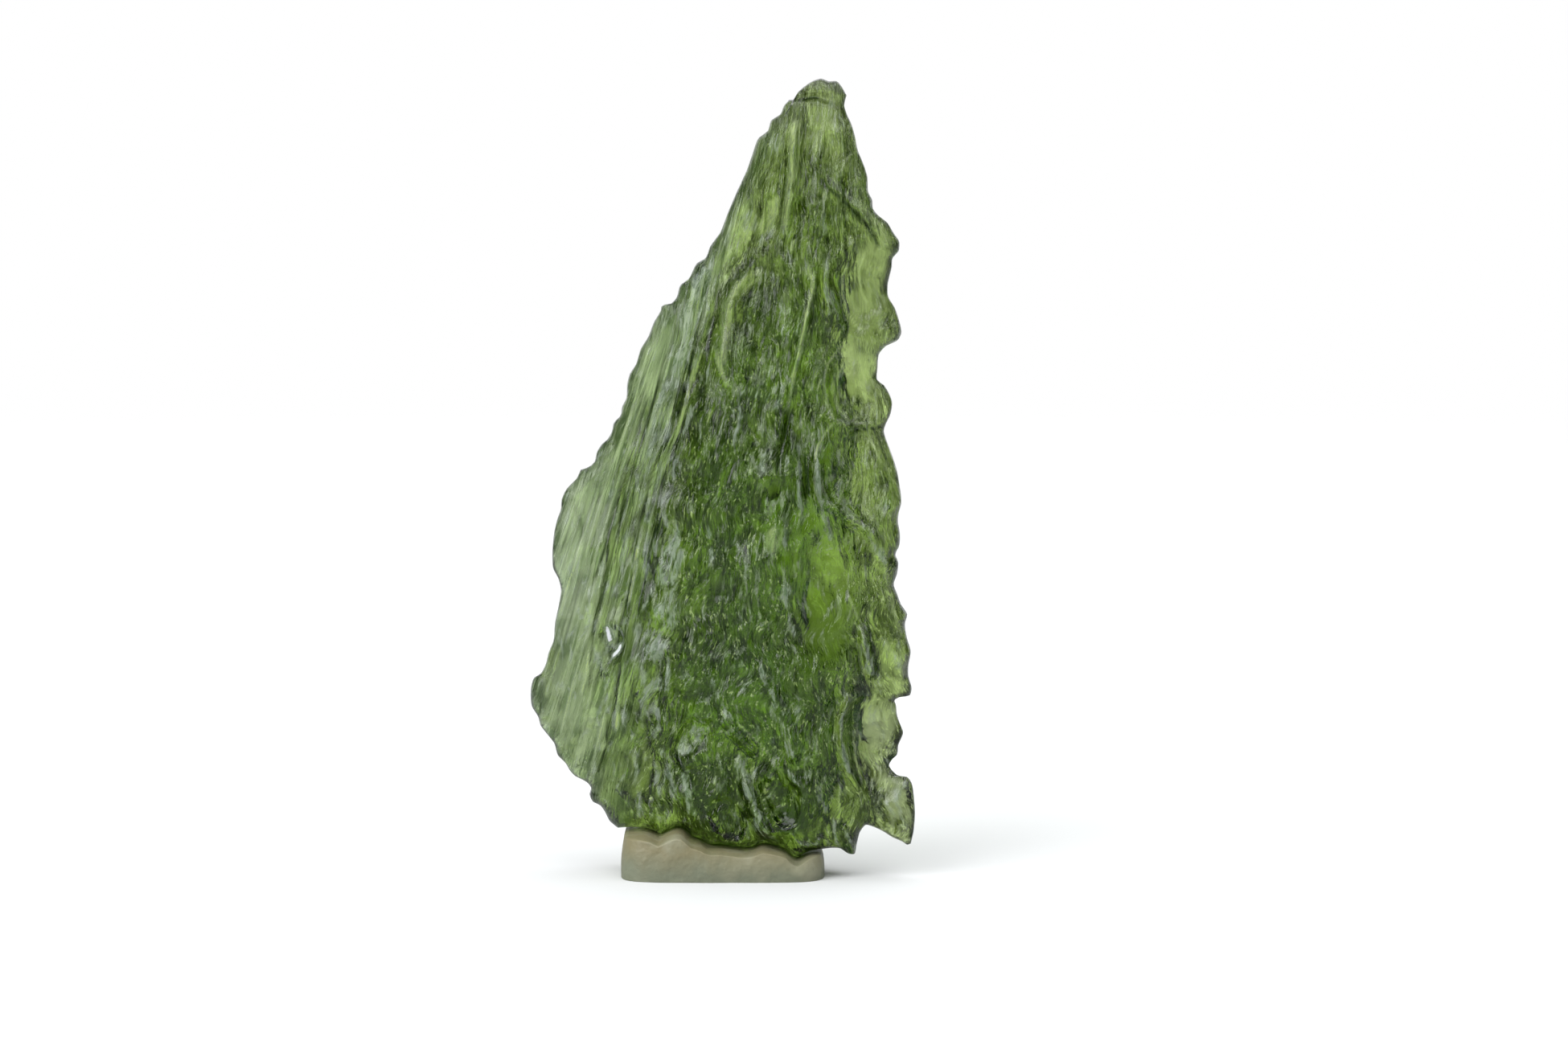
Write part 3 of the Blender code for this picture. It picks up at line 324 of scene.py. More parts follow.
# Spots on the front: x, z, half width, half height, lean in degrees to the right, then how light,
# how frosted, with a painted sheen, and how free of threads they are.
FRONT_SPOTS = [
    (-3.3, 15, 1.2, 11, 4, 0, 0.4, 0),
    (-1.7, 28, 0.9, 5, 16, 0, 0.4, 0),
    (5.95, 40.5, 0.4, 0.45, 0, -0.5, 0.3, 0),
    (6.4, 37.6, 0.5, 0.6, 0, -0.4, 0, 0),
    (2.5, 34.1, 0.45, 1.2, 22, 1.2, 0.3, 0.6),
    (5.3, 38.6, 0.9, 1.7, 0, 0.1, 0.3, 0.6),
    (2.7, 37.7, 0.6, 0.7, 0, 0.05, 0.6, 0),
    (1.4, 33.6, 0.55, 1, 12, 0.05, 0.5, 0),
    (2, 28.9, 1.2, 2, 0, -0.25, 0, 0.3),
    (4.45, 31.2, 0.3, 0.5, 0, 0.5, 0, 0),
    (8.25, 25, 0.3, 0.3, 0, 0, 0.9, 0),
    (6.9, 25.8, 1.5, 2, 0, 0.1, 0, 0.9),
    (8, 31.4, 1.5, 2, -18, 0, 0, 0.85),
    (7.4, 29.1, 1.5, 2, 25, 0, 0, 0.85),
    (5.9, 30.2, 0.7, 0.9, 10, 0.15, 0, 0.8),
    (5.6, 22.2, 1.4, 1, 0, 0, 0, 0.5),
    (1.3, 24, 0.4, 0.7, 0, -0.6, 0, 0.5),
    (2.5, 20, 1, 0.8, 0, -0.2, 0, 0.8),
    (-0.6, 20.5, 0.5, 0.6, 0, -0.35, 0, 0.4),
    (5.1, 15.2, 1.9, 5, -3, 0.08, 0, 0.85),
    (-0.6, 16.7, 0.36, 0.75, 0, 0.1, 1, 0),
    (-0.7, 18, 0.32, 0.5, 0, 0.1, 0.8, 0),
    (2.7, 17.7, 0.5, 0.9, 10, 0.5, 0, 0),
    (0.1, 15.3, 0.8, 0.9, 0, -0.05, 0, 0.9),
    (8.3, 10.9, 0.4, 0.6, 0, -0.6, 0, 0.5),
    (-2.4, 16.9, 0.5, 1.5, 0, 0.1, 1, 0),
    (-2.85, 15.8, 0.45, 0.8, 0, 0.1, 0.8, 0),
    (-2.6, 13.9, 0.75, 1.1, 0, 0.1, 0.7, 0),
    (-3.5, 12, 0.6, 1, 0, 0.1, 0.75, 0),
    (-3.6, 9.6, 0.6, 1.8, 0, 0.1, 0.6, 0),
    (-4.6, 18, 0.16, 0.7, 5, -0.8, 0, 0),
    (-4.2, 20.2, 0.45, 1.2, 0, 0, 0.7, 0),
    (-5.05, 16.6, 0.35, 1.1, 8, 0, 0.55, 0.5),
    (-6.4, 12, 0.4, 1.3, 8, 0, 0.5, 0.5),
    (-7.4, 15.3, 1.4, 6, 6, 0.05, 0.1, 0.45),
    (-3.2, 26.6, 0.6, 2.4, 16, 0.1, 0, 0.6),
    (-4.4, 21.9, 0.4, 1.1, 14, 0.45, 0, 0.6),
    (-7.4, 8.6, 1.2, 2, 0, 0.15, 0, 0.3),
    (-6.3, 7.4, 0.5, 0.8, 0, 0.25, 0, 0.3),
    (-1.5, 7.3, 0.5, 1.5, 36, 0.1, 1.1, 0),
    (-2.05, 10.8, 0.45, 0.65, 0, -0.8, 0, 0.8),
    (-1.1, 9.8, 0.8, 0.8, 0, -0.5, 0, 0.6),
    (0.6, 3.2, 0.25, 0.8, -15, 0.1, 0.9, 0),
    (1.3, 3.5, 0.6, 0.5, 0, -0.3, 0, 0.9),
    (3.6, 3.1, 1.1, 1.1, 0, -0.9, 0, 0.5),
    (2.9, 4.3, 0.6, 0.6, 0, -0.6, 0, 0.3),
    (-1, 3.9, 0.5, 0.8, 0, -0.5, 0, 0),
    (8.6, 8, 0.5, 1.3, 0, 0, 0.5, 0.9),
    (8.9, 4, 0.6, 1.3, 0, 0.1, 0.4, 0.8),
    (7.4, 7.8, 0.9, 2.2, 0, 0.05, 0.15, 0.9),
]

# Broad lighter and darker parts of the front: x, z, half width, half height, gain.
FRONT_AREAS = [
    (6.4, 20, 1.5, 4.5, 0.3),
    (6.1, 30, 1.2, 3.5, 0.1),
    (6.3, 25.2, 0.9, 1.5, 0.3),
    (6.4, 8, 1, 2, 0.25),
    (2.6, 13.2, 1.2, 1.6, 0.15),
    (-7, 15, 1.8, 5.5, 0.36),
    (-6.5, 9.8, 3, 3, 0.12),
    (-3.9, 19.5, 0.9, 4.5, 0.14),
    (-3.2, 22.5, 1.2, 3, 0.2),
    (4.8, 19.5, 1, 3, 0.2),
    (7.2, 26.2, 0.9, 1.4, 0.12),
    (5.1, 15, 1.5, 3.6, 0.08),
    (7.6, 30, 1.4, 3, -0.14),
    (0.2, 28.3, 0.5, 2.6, 0.2),
    (-2.8, 7, 0.9, 1.5, 0.12),
    (4.8, 37.2, 1, 1.2, 0.04),
    (0.2, 4.6, 1.9, 1.6, -0.3),
    (3.3, 3.6, 1.9, 2, -0.4),
    (-1.4, 4, 1, 1.6, -0.3),
    (-0.6, 17.5, 1.6, 6, -0.14),
    (1.9, 22, 1.6, 3, -0.1),
    (2, 28.8, 1.1, 2, -0.2),
    (1.8, 36.3, 0.8, 0.8, -0.15),
    (4.4, 34.4, 1, 1, -0.15),
]

# What a stroke does: how high a thread and how deep a crack is for each mm of half width, the most
# that light and frost raise it, and what light and frost give to its light, frost and smoothness.
# The frost also carries a painted sheen and painted glints.
THREAD_RISE, CRACK_CUT, MOST_RAISED = 0.8, 0.9, 2.2
LIGHT_GAIN, FROST_SHEEN_GLOW, FROST_SHEEN_GAIN, SMOOTH_GAIN = 1.3, 0.3, 1.2, 0.7
SHADE_BESIDE, SHADE_WIDTH = 0.4, 2.5  # painted shade beside a light thread, and how much wider that is
BACK_FADE = 0.85  # how much of a stroke on the back is lost in a smooth spot
HOLLOW_SHADE, HOLLOW_CALM = 0.25, 0.6  # painted shade that darkens the back's scoops, and how much smoother they are

# Strokes that lie by chance: how light, how frosted (with a painted sheen), how many. Then the
# bounds of where they are on the fan, where they start, how long, how bent and how wide they are,
# their seed and their waver.
BACK_KINDS = ((0.8, 0, 26), (0.1, 0.9, 22), (-0.8, 0, 12))
BACK_LEAST, BACK_MOST = (-4.6, 5, 1, -0.5, 0.06), (1.9, 38, 6.5, 0.5, 0.2)
BACK_CHANCE, BACK_WAVER = 11, 0.15
FLANGE_KINDS = ((0.5, 0, 24), (-0.5, 0, 18))
FLANGE_LEAST, FLANGE_MOST = (-4.7, 12, 4, -0.2, 0.05), (-2.7, 31, 13, 0.2, 0.09)
FLANGE_CHANCE, FLANGE_WAVER = 5, 0.04
DRAWN_POINTS = 5  # points on each of them

SHEET_COLUMNS, SHEET_ROWS = 190, 260  # the grid on each side of the stone
EDGE_STEPS = 400  # points on a plain copy of an edge
CALM_REACH = 26  # how many of them on each side even out its nicks
CURVE_PULL = 0.7  # how strongly an edge's curve follows the slope at its points
NICK_FADE = 12  # how soon a nick in the rim is forgotten by the sheets' lines inside it
RIM_CROWDING = 0.35  # how much closer the sheets' lines lie near the rim than in the middle

PAD_LEFT, PAD_RIGHT = -5.22, 5.28
PAD_NARROWS = 0.16  # each end leans in by this much on the way up
PAD_DEPTH = 6.8
PAD_BULGE, PAD_UNEVEN = 0.03, 0.02  # how much its sides swell and waver, as a share of its size
PAD_DROOP = 0.12  # how much lower its top is at the rim
PAD_LAP = 0.02  # how far it reaches into the stone
PAD_CORNER = 5.0  # the power of the pad's rounded plan: 2 would be an ellipse
PAD_CUTS = 40

FRONT, BACK = 0, 1
FRONT_SEED, BACK_SEED = 3, 41

# Large odd numbers that stir the column, row and seed of a place in the noise.
COLUMN_STIR, ROW_STIR, SEED_STIR, LAST_STIR = 374761393, 668265263, 1442695041, 1274126177
LOW_BITS = 0xFFFFFFFF

# What the surface lets through in its dark and its light threads, and the grey of frosted spots,
# which is frosted glass and also a painted sheen.
BODY_DARK = (0.06, 0.088, 0.007, 1.0)
BODY_LIGHT = (0.91, 1.0, 0.72, 1.0)
FLANGE_DARK = (0.13, 0.19, 0.115, 1.0)
FLANGE_LIGHT = (0.92, 1.0, 1.0, 1.0)
# painted shade: the dark colour laid along cracks cut into the surface
CRACK_SHADE_COLOUR = (0.02, 0.04, 0.006, 1.0)
FROST_SHEEN_DARK = (0.24, 0.33, 0.21, 1.0)
FROST_SHEEN_LIGHT = (0.52, 0.60, 0.50, 1.0)
PAINTED_GLINT_COLOUR = (0.95, 0.97, 1.0, 1.0)  # a painted glint: white where a facet would mirror the light
# the colour of the lighter threads, and of the flecks, which are painted glints
BRIGHT_COLOUR = (0.72, 0.88, 0.34, 1.0)
GLASS_DEPTH_COLOUR = (0.715, 0.82, 0.37, 1.0)  # what is left of white after each mm of glass
GLASS_IOR = 1.49
GLASS_BUMP = 0.00004  # metres
FLOW_AROUND = 0.1  # how far the threads bend around each mm of a scoop's depth
BENT_ASIDE, BENT_UP = 0.15, 0.5  # how far the bent flow strays

# Noise in the glass: how many across the fan, through the stone and up for each mm, its detail, and
# the levels of it that count as none and as full.
FIBRES = ((13.0, 1.5, 1.5), 2.0, 0.42, 0.60)
THREADS = ((9.5, 1.3, 0.08), 3.0, 0.43, 0.57)
SPECKS = ((17.0, 5.0, 2.8), 2.0, 0.0, 1.0)
STREAKS = ((8.0, 2.0, 0.9), 2.0, 0.0, 1.0)
CELLS = (4.5, 1.0, 1.2)

PUTTY_GREY = (0.26, 0.28, 0.19, 1.0)
PUTTY_BROWN = (0.29, 0.26, 0.145, 1.0)
PUTTY_PALE = (0.40, 0.40, 0.28, 1.0)
PUTTY_BUMP = 0.0003  # metres
CLOUD_SCALE, GRAIN_SCALE = 600.0, 2600.0
WARM_OVER = 0.0022  # metres above the ground over which the putty turns from grey to brownish

# The room's light: direction, cosine where the glow starts, cosine where it is full, level.
ROOM_DIMMEST = 0.09
ROOM_GLOWS = (
    ((0, 1, 0.05), 0.78, 0.95, 0.76),
    ((0, -1, 0.1), 0.4, 0.9, 0.03),
    ((0, 0, 1), 0.65, 0.9, 2.2),
    ((-0.75, -0.75, 0.55), 0.86, 0.95, 3.4),
    ((0.95, -0.35, 0.3), 0.9, 0.97, 1.2),
)
ROOM_TINT = (0.97, 0.99, 1.0, 1.0)
WHITE = (1.0, 1.0, 1.0, 1.0)
FLOOR_RADIUS = 1.2
FLOOR_FADE = (0.08, 0.4)  # metres from the middle between which the floor fades into the room
FLOOR_SHADES = (0.45, 0.9)  # how pale it is to the stone and to the camera
BOUNCES = 12

# The view: a 100 mm lens on a 36 mm sensor, whose width holds the photo's whole frame.
FRAME_WIDTH = 80.8
AIM = (3.19, 0.0, 18.2)
LENS, SENSOR = 100.0, 36.0
CAMERA_RISE = 5.0  # degrees above the level
CAMERA_REACH = (0.01, 20)  # metres between which it sees things


def lattice_share(column, row, seed):
    """A repeatable share from 0 to 1 for each corner of a whole-number lattice."""
    stirred = (column * COLUMN_STIR + row * ROW_STIR + seed * SEED_STIR) & LOW_BITS
    stirred = ((stirred ^ (stirred >> 13)) * LAST_STIR) & LOW_BITS
    return ((stirred ^ (stirred >> 16)) & 0xFFFF) / 65536


def noise(across, along, seed):
    """Smooth noise, from about -1 to 1; each seed gives another pattern."""
    column, row = np.floor(across).astype(np.int64), np.floor(along).astype(np.int64)
    a, b = across - column, along - row
    ease_a, ease_b = (t * t * t * (t * (t * 6 - 15) + 10) for t in (a, b))

    def corner(right, up):
        turn = 2 * np.pi * lattice_share(column + right, row + up, seed)
        return np.cos(turn) * (a - right) + np.sin(turn) * (b - up)

    low = corner(0, 0) * (1 - ease_a) + corner(1, 0) * ease_a
    high = corner(0, 1) * (1 - ease_a) + corner(1, 1) * ease_a
    return 1.5 * (low * (1 - ease_b) + high * ease_b)


def bowls(across, along, seed):
    """0 in the middle of each scattered cell, rising to sharp crests of up to 1 between cells."""
    column, row = np.floor(across).astype(np.int64), np.floor(along).astype(np.int64)
    nearest = np.full(across.shape, 4.0)
    for right in (-1, 0, 1):
        for up in (-1, 0, 1):
            middle_a = column + right + lattice_share(column + right, row + up, seed)
            middle_b = row + up + lattice_share(column + right, row + up, seed + 1)
            nearest = np.minimum(nearest, (across - middle_a) ** 2 + (along - middle_b) ** 2)
    return np.clip(nearest, 0, 1)


def eased(share):
    share = np.clip(share, 0, 1)
    return share * share * (3 - 2 * share)


def side_shares(points, axis):
    """Where each point lies along its edge: half by length, half by height (1) or width (0)."""
    steps = np.diff(points, axis=0)
    length = np.concatenate([[0], np.cumsum(np.hypot(steps[:, 0], steps[:, 1]))])
    reach = np.concatenate([[0], np.cumsum(np.abs(steps[:, axis]))])
    return 0.5 * length / length[-1] + 0.5 * reach / reach[-1]


def along_edge(edge, axis, at):
    """Places on the smooth curve through an edge's points, at shares of it from 0 to 1."""
    points = np.reshape(edge, (-1, 2))
    shares = side_shares(points, axis)
    slopes = CURVE_PULL * np.gradient(points, shares, axis=0)
    index = np.clip(np.searchsorted(shares, at, side="right") - 1, 0, len(points) - 2)
    span = (shares[index + 1] - shares[index])[:, None]
    t = (at[:, None] - shares[index][:, None]) / span
    return (
        (2 * t**3 - 3 * t**2 + 1) * points[index]
        + (t**3 - 2 * t**2 + t) * span * slopes[index]
        + (3 * t**2 - 2 * t**3) * points[index + 1]
        + (t**3 - t**2) * span * slopes[index + 1]
    )


def calm_edge(edge, axis, at):
    """The same edge without its nicks, for laying out the middle of the sheets."""
    even = np.linspace(0, 1, EDGE_STEPS)
    line = along_edge(edge, axis, even)
    padded = np.pad(line, ((CALM_REACH, CALM_REACH), (0, 0)), mode="reflect", reflect_type="odd")
    weights = np.hanning(2 * CALM_REACH + 3)[1:-1]
    weights = weights / weights.sum()
    calm = [np.convolve(padded[:, i], weights, mode="valid") for i in (0, 1)]
    return np.stack([np.interp(at, even, values) for values in calm], axis=1)


def on_face(u, v):
    """x and z of the places u across and v up the outline, stretched between its four edges."""
    edges = ((LEFT_EDGE, 1, v), (RIGHT_EDGE, 1, v), (BOTTOM_EDGE, 0, u), (TOP_EDGE, 0, u))
    left, right, bottom, top = (calm_edge(*edge) for edge in edges)
    nicks = [along_edge(*edge) - calm for edge, calm in zip(edges, (left, right, bottom, top))]
    u, v = u[:, None], v[:, None]
    corners = (1 - v) * ((1 - u) * np.array(BOTTOM_EDGE[:2]) + u * np.array(BOTTOM_EDGE[-2:]))
    corners = corners + v * ((1 - u) * np.array(TOP_EDGE[:2]) + u * np.array(TOP_EDGE[-2:]))
    place = (1 - u) * left + u * right + (1 - v) * bottom + v * top - corners
    for near, nick in zip((1 - u, u, 1 - v, v), nicks):
        place = place + near**NICK_FADE * nick
    return place[:, 0], place[:, 1]


def distance_to_line(x, z, points):
    """Distance to a line of points, and how far along it the nearest place is, from 0 to 1."""
    points = np.reshape(points, (-1, 2))
    nearest = np.full(x.shape, np.inf)
    share = np.zeros(x.shape)
    for index, (start, end) in enumerate(zip(points[:-1], points[1:])):
        run = end - start
        t = np.clip(((x - start[0]) * run[0] + (z - start[1]) * run[1]) / (run @ run), 0, 1)
        gap = np.hypot(x - start[0] - t * run[0], z - start[1] - t * run[1])
        closer = gap < nearest
        nearest = np.where(closer, gap, nearest)
        share = np.where(closer, (index + t) / (len(points) - 1), share)
    return nearest, share


def rim_line():
    """The whole outline as one closed line of close points."""
    at = np.linspace(0, 1, RIM_STEPS)
    line = np.concatenate([
        along_edge(LEFT_EDGE, 1, at)[:-1],
        along_edge(TOP_EDGE, 0, at[::4])[:-1],
        along_edge(RIGHT_EDGE, 1, at[::-1])[:-1],
        along_edge(BOTTOM_EDGE, 0, at[::-1])[:-1],
    ])
    return np.concatenate([line, line[:1]])


def half_thickness(x, z, side):
    """The stone's thickness from its middle to one side, before the relief."""
    x = x + THICKNESS_WANDER * noise(x / 2.6, z / 2.0, 51)
    total, weights = np.zeros(x.shape), np.zeros(x.shape)
    for spot_x, spot_z, *halves in THICKNESS_SPOTS:
        squared = ((x - spot_x) ** 2 + (SPOT_UPWARD * (z - spot_z)) ** 2) / SPOT_REACH**2
        weight = np.exp(-squared) + 1e-6 / (1 + squared)
        total += weight * halves[side]
        weights += weight
    return total / weights


def fan_line(x, z, seed):
    """Which line of the fan each place is on: the lines spread from the tip and waver a little."""
    below = np.clip(TIP[1] - z, 0, None)
    line = (x - TIP[0] + FAN_LEAN * below) / (1 + FAN_SPREAD * below)
    return line + FAN_WAVER * noise(x / 5, z / 9, seed)


def leaning(aside, up, lean):
    """The same place measured across and along something that leans to the right, in degrees."""
    turn = np.radians(lean)
    across = aside * np.cos(turn) - up * np.sin(turn)
    return across, aside * np.sin(turn) + up * np.cos(turn)


def scoop_relief(x, z, scoops):
    """Each scoop is a bowl with a soft lip and faint rings, flat at the end where it runs out."""
    relief = np.zeros(x.shape)
    shift_x, shift_z = (SCOOP_WANDER * noise(x / 1.3, z / 1.9, seed) for seed in (61, 62))
    for middle_x, middle_z, wide, tall, lean, depth, *opens in scoops:
        aside, up = x + shift_x - middle_x, z + 1.5 * shift_z - middle_z
        across, along = leaning(aside, up, lean)
        out = np.hypot(across / wide, along / tall)
        bowl = -depth * (1 - np.clip(out, 0, 1) ** 3)
        lip = LIP_HEIGHT * depth * np.exp(-(((out - LIP_AT) * min(wide, tall) / LIP_WIDTH) ** 2))
        if opens:
            way = np.radians(opens[0])
            towards = across / wide * np.cos(way) + along / tall * np.sin(way)
            closed = eased(0.5 - 0.6 * towards)
            bowl, lip = bowl * (OPEN_END + (1 - OPEN_END) * closed), lip * closed
        bearing = np.arctan2(along / tall, across / wide)
        rings = RING_HEIGHT * noise(out * 7, bearing * 1.4, 71) * eased(3 * (1.1 - out))
        relief += bowl + lip + rings * eased(4 * out)
    return relief


def fine_relief(x, z, seed):
    """Sharp flutes on broad swells, shallow scallops, and long flakes that end in small steps."""
    line = fan_line(x, z, seed)
    wide, tall, height = LUMPS
    relief = height * noise(x / wide, z / tall, seed + 17)
    rough = np.clip(0.75 + 1.1 * noise(x / 2.4, z / 4.5, seed + 9), 0.2, 1.7)
    for index, (count, along, height) in enumerate(FLUTES):
        wave = noise(line * count, z * along, seed + 11 + index)
        relief += (height if index == 0 else height * rough) * (0.45 - 1.6 * np.abs(wave))
    amount = np.clip(0.7 + 1.2 * noise(x / 3.1, z / 5.0, seed + 21), 0.1, 1.6)
    for index, (count, along, depth) in enumerate(SCALLOPS):
        cells = bowls(line * count, z * along, seed + 23 + 2 * index)
        relief += amount * depth * (cells - 0.35)
    for index, (count, along, height) in enumerate(LEDGES):
        level = 3 * noise(line * count, z * along, seed + 31 + index)
        step = level - np.floor(level)
        relief += height * (np.floor(level) * 0.35 + eased(step / 0.14) * 0.35 - 0.3 * step)
    return relief


def drawn_strokes(seed, kinds, least, most, waver):
    """Strokes along the fan; least and most bound their line, top, length, bend and half width."""
    chance = np.random.default_rng(seed)
    strokes = []
    for light, frost_and_sheen, count in kinds:
        for _ in range(count):
            line, top, length, bend = chance.uniform(least[:4], most[:4])
            z = top - length * np.linspace(0, 1, DRAWN_POINTS)
            below = TIP[1] - z
            x = TIP[0] + line * (1 + FAN_SPREAD * below) - FAN_LEAN * below
            x += bend * np.sin(np.linspace(0, np.pi, DRAWN_POINTS))
            x += waver * chance.standard_normal(DRAWN_POINTS)
            half_width = chance.uniform(least[4], most[4])
            strokes.append((half_width, light, frost_and_sheen, *np.stack([x, z], axis=1).ravel()))
    return strokes


def line_share(x, z, half_width, points, taper=STROKE_TAPER):
    """1 on a line of points, fading to its sides and its ends."""
    away, share = distance_to_line(x, z, points)
    return eased(share / taper) * eased((1 - share) / taper) * np.exp(-((away / half_width) ** 2))


def spot_shares(x, z):
    """How light, how frosted, with a painted sheen, and how free of threads the front's spots make
    each place.
    """
    shares = np.zeros((3,) + x.shape)
    for middle_x, middle_z, wide, tall, lean, *strengths in FRONT_SPOTS:
        aside = x - middle_x + 0.18 * noise(x / 0.7, z / 0.9, 63)
        up = z - middle_z + 0.25 * noise(x / 0.8, z / 1.1, 64)
        across, along = leaning(aside, up, lean)
        inside = eased(2.2 * (1 - np.hypot(across / wide, along / tall)))
        shares += np.multiply.outer(strengths, inside)
    shares[2] = np.clip(shares[2], 0, 1)
    return shares


def stroke_relief(x, z, strokes):
    """Threads and frosted streaks stand out a little, and cracks are cut in."""
    relief = np.zeros(x.shape)
    for half_width, light, frost_and_sheen, *points in strokes:
        if light < 0:
            height = CRACK_CUT * half_width * light
        else:
            height = THREAD_RISE * half_width * min(light + frost_and_sheen, MOST_RAISED)
        relief += height * line_share(x, z, half_width, points)
    return relief


def stone_relief(x, z, side, half):
    """Height above the plain thickness; the fine forms fade on thin and on smooth glass."""
    scoops, ridges, strokes, seed = (
        (FRONT_SCOOPS, FRONT_RIDGES, FRONT_STROKES, FRONT_SEED),
        (BACK_SCOOPS, BACK_RIDGES, BACK_STROKES, BACK_SEED),
    )[side]
    relief = scoop_relief(x, z, scoops)
    for half_width, height, *points in ridges:
        relief += RIDGE_GAIN * height * line_share(x, z, half_width, points, RIDGE_TAPER)
    drawn = stroke_relief(x, z, strokes)
    smooth = spot_shares(x, z)[2]
    relief += drawn * (1 - BACK_FADE * smooth) if side == BACK else drawn
    thick = eased((half - FINE_FROM) / FINE_OVER)
    fine = FINE_WHERE_THIN + (FINE_WHERE_THICK - FINE_WHERE_THIN) * thick
    fine *= (1 - FINE_FADE * smooth) * (1 - FINE_FADE_ON_FLANGE * flange_share(x, z))
    return relief + fine * fine_relief(x, z, seed)


def middle_y(x, z):
    return SWING * (x - 0.5) + SWAY * noise(x / 8 + 0.4, z / 11, 7)


def crowded(share):
    return share - RIM_CROWDING * np.sin(2 * np.pi * share) / (2 * np.pi)


def on_stone(u, v, side):
    """The stone's surface in metres at u across and v up one of its two sides."""
    x, z = on_face(crowded(u), crowded(v))
    inside, _ = distance_to_line(x, z, rim_line())
    on_rim = (u <= 0) | (u >= 1) | (v <= 0) | (v >= 1)
    half = half_thickness(x, z, side)
    round_over = RIM_ROUND + RIM_ROUND_SHARE * half
    rounded = np.sqrt(1 - (1 - np.clip(inside / round_over, 0, 1)) ** 2)
    raised = half + stone_relief(x, z, side, half)
    half = np.maximum(raised, THINNEST_HALF + THINNEST_SHARE * half) * rounded
    half = np.where(on_rim, 0, half)
    y = middle_y(x, z) + (half if side == BACK else -half)
    return np.stack([x, y, z], axis=1) * MM


def placed(name, shape):
    """Makes a shape an object of the scene."""
    mesh = bpy.data.meshes.new(name)
    shape.to_mesh(mesh)
    shape.free()
    piece = bpy.data.objects.new(name, mesh)
    bpy.context.scene.collection.objects.link(piece)
    return piece


def stone_piece():
    """Two square sheets, laid out as the stone's front and back and welded along the rim."""
    shape = bmesh.new()
    for side in (FRONT, BACK):
        sheet = bmesh.ops.create_grid(
            shape, x_segments=SHEET_COLUMNS, y_segments=SHEET_ROWS, size=1
        )["verts"]
        flat = (np.array([vert.co[:2] for vert in sheet]) + 1) / 2
        flat = np.where(flat < 1e-6, 0, np.where(flat > 1 - 1e-6, 1, flat))
        for vert, place in zip(sheet, on_stone(flat[:, 0], flat[:, 1], side)):
            vert.co = place
        if side == BACK:
            turned = {face for vert in sheet for face in vert.link_faces}
            bmesh.ops.reverse_faces(shape, faces=list(turned))
    rim = [vert for vert in shape.verts if vert.is_boundary]
    bmesh.ops.remove_doubles(shape, verts=rim, dist=1e-7)
    stone = placed("sculpted_glass", shape)
    stone.data.shade_smooth()
    paint(stone.data)
    return stone


def keep_values(mesh, name, values):
    """Stores three values at each point of a mesh."""
    stored = mesh.attributes.new(name, "FLOAT_VECTOR", "POINT")
    stored.data.foreach_set("vector", np.stack(values, axis=1).astype(np.float32).ravel())


def flange_share(x, z):
    """1 on the thin flange at the left, 0 on the thick body."""
    return eased(0.5 - (x - np.interp(z, FLANGE_HEIGHTS, FLANGE_ENDS)) / FLANGE_BLEND)


def area_share(x, z, middle_x, middle_z, wide, tall):
    return np.exp(-(((x - middle_x) / wide) ** 2) - ((z - middle_z) / tall) ** 2)


def scoop_share(x, z, middle_x, middle_z, wide, tall, *_):
    return eased(2 * (1 - np.hypot((x - middle_x) / wide, (z - middle_z) / tall)))


def marks_of(x, z, strokes):
    """How light, how frosted and how free of threads the strokes make each place. Their light holds
    a painted highlight on threads and painted shade along cracks and beside threads; their frost
    holds a painted sheen and painted glints.
    """
    light, frost_and_sheen, smooth = np.zeros((3,) + x.shape)
    for half_width, stroke_light, stroke_frost_and_sheen, *points in strokes:
        share = line_share(x, z, half_width, points)
        light += (LIGHT_GAIN * stroke_light + FROST_SHEEN_GLOW * stroke_frost_and_sheen) * share
        frost_and_sheen += FROST_SHEEN_GAIN * stroke_frost_and_sheen * share
        smooth += SMOOTH_GAIN * abs(stroke_light) * share
        if stroke_light >= 0:
            # painted shade beside each light thread
            beside = line_share(x, z, SHADE_WIDTH * half_width, points)
            light -= SHADE_BESIDE * max(stroke_light, stroke_frost_and_sheen) * beside
    return light, frost_and_sheen, smooth


def clouded(line, z, seed):
    """Blotches that follow the flow, from 0 to 1."""
    wide, narrow = noise(line * 2.2, z * 0.5, seed), noise(line * 4.5, z * 1.0, seed + 1)
    return np.clip(0.5 + 0.9 * wide + 0.5 * narrow, 0, 1)


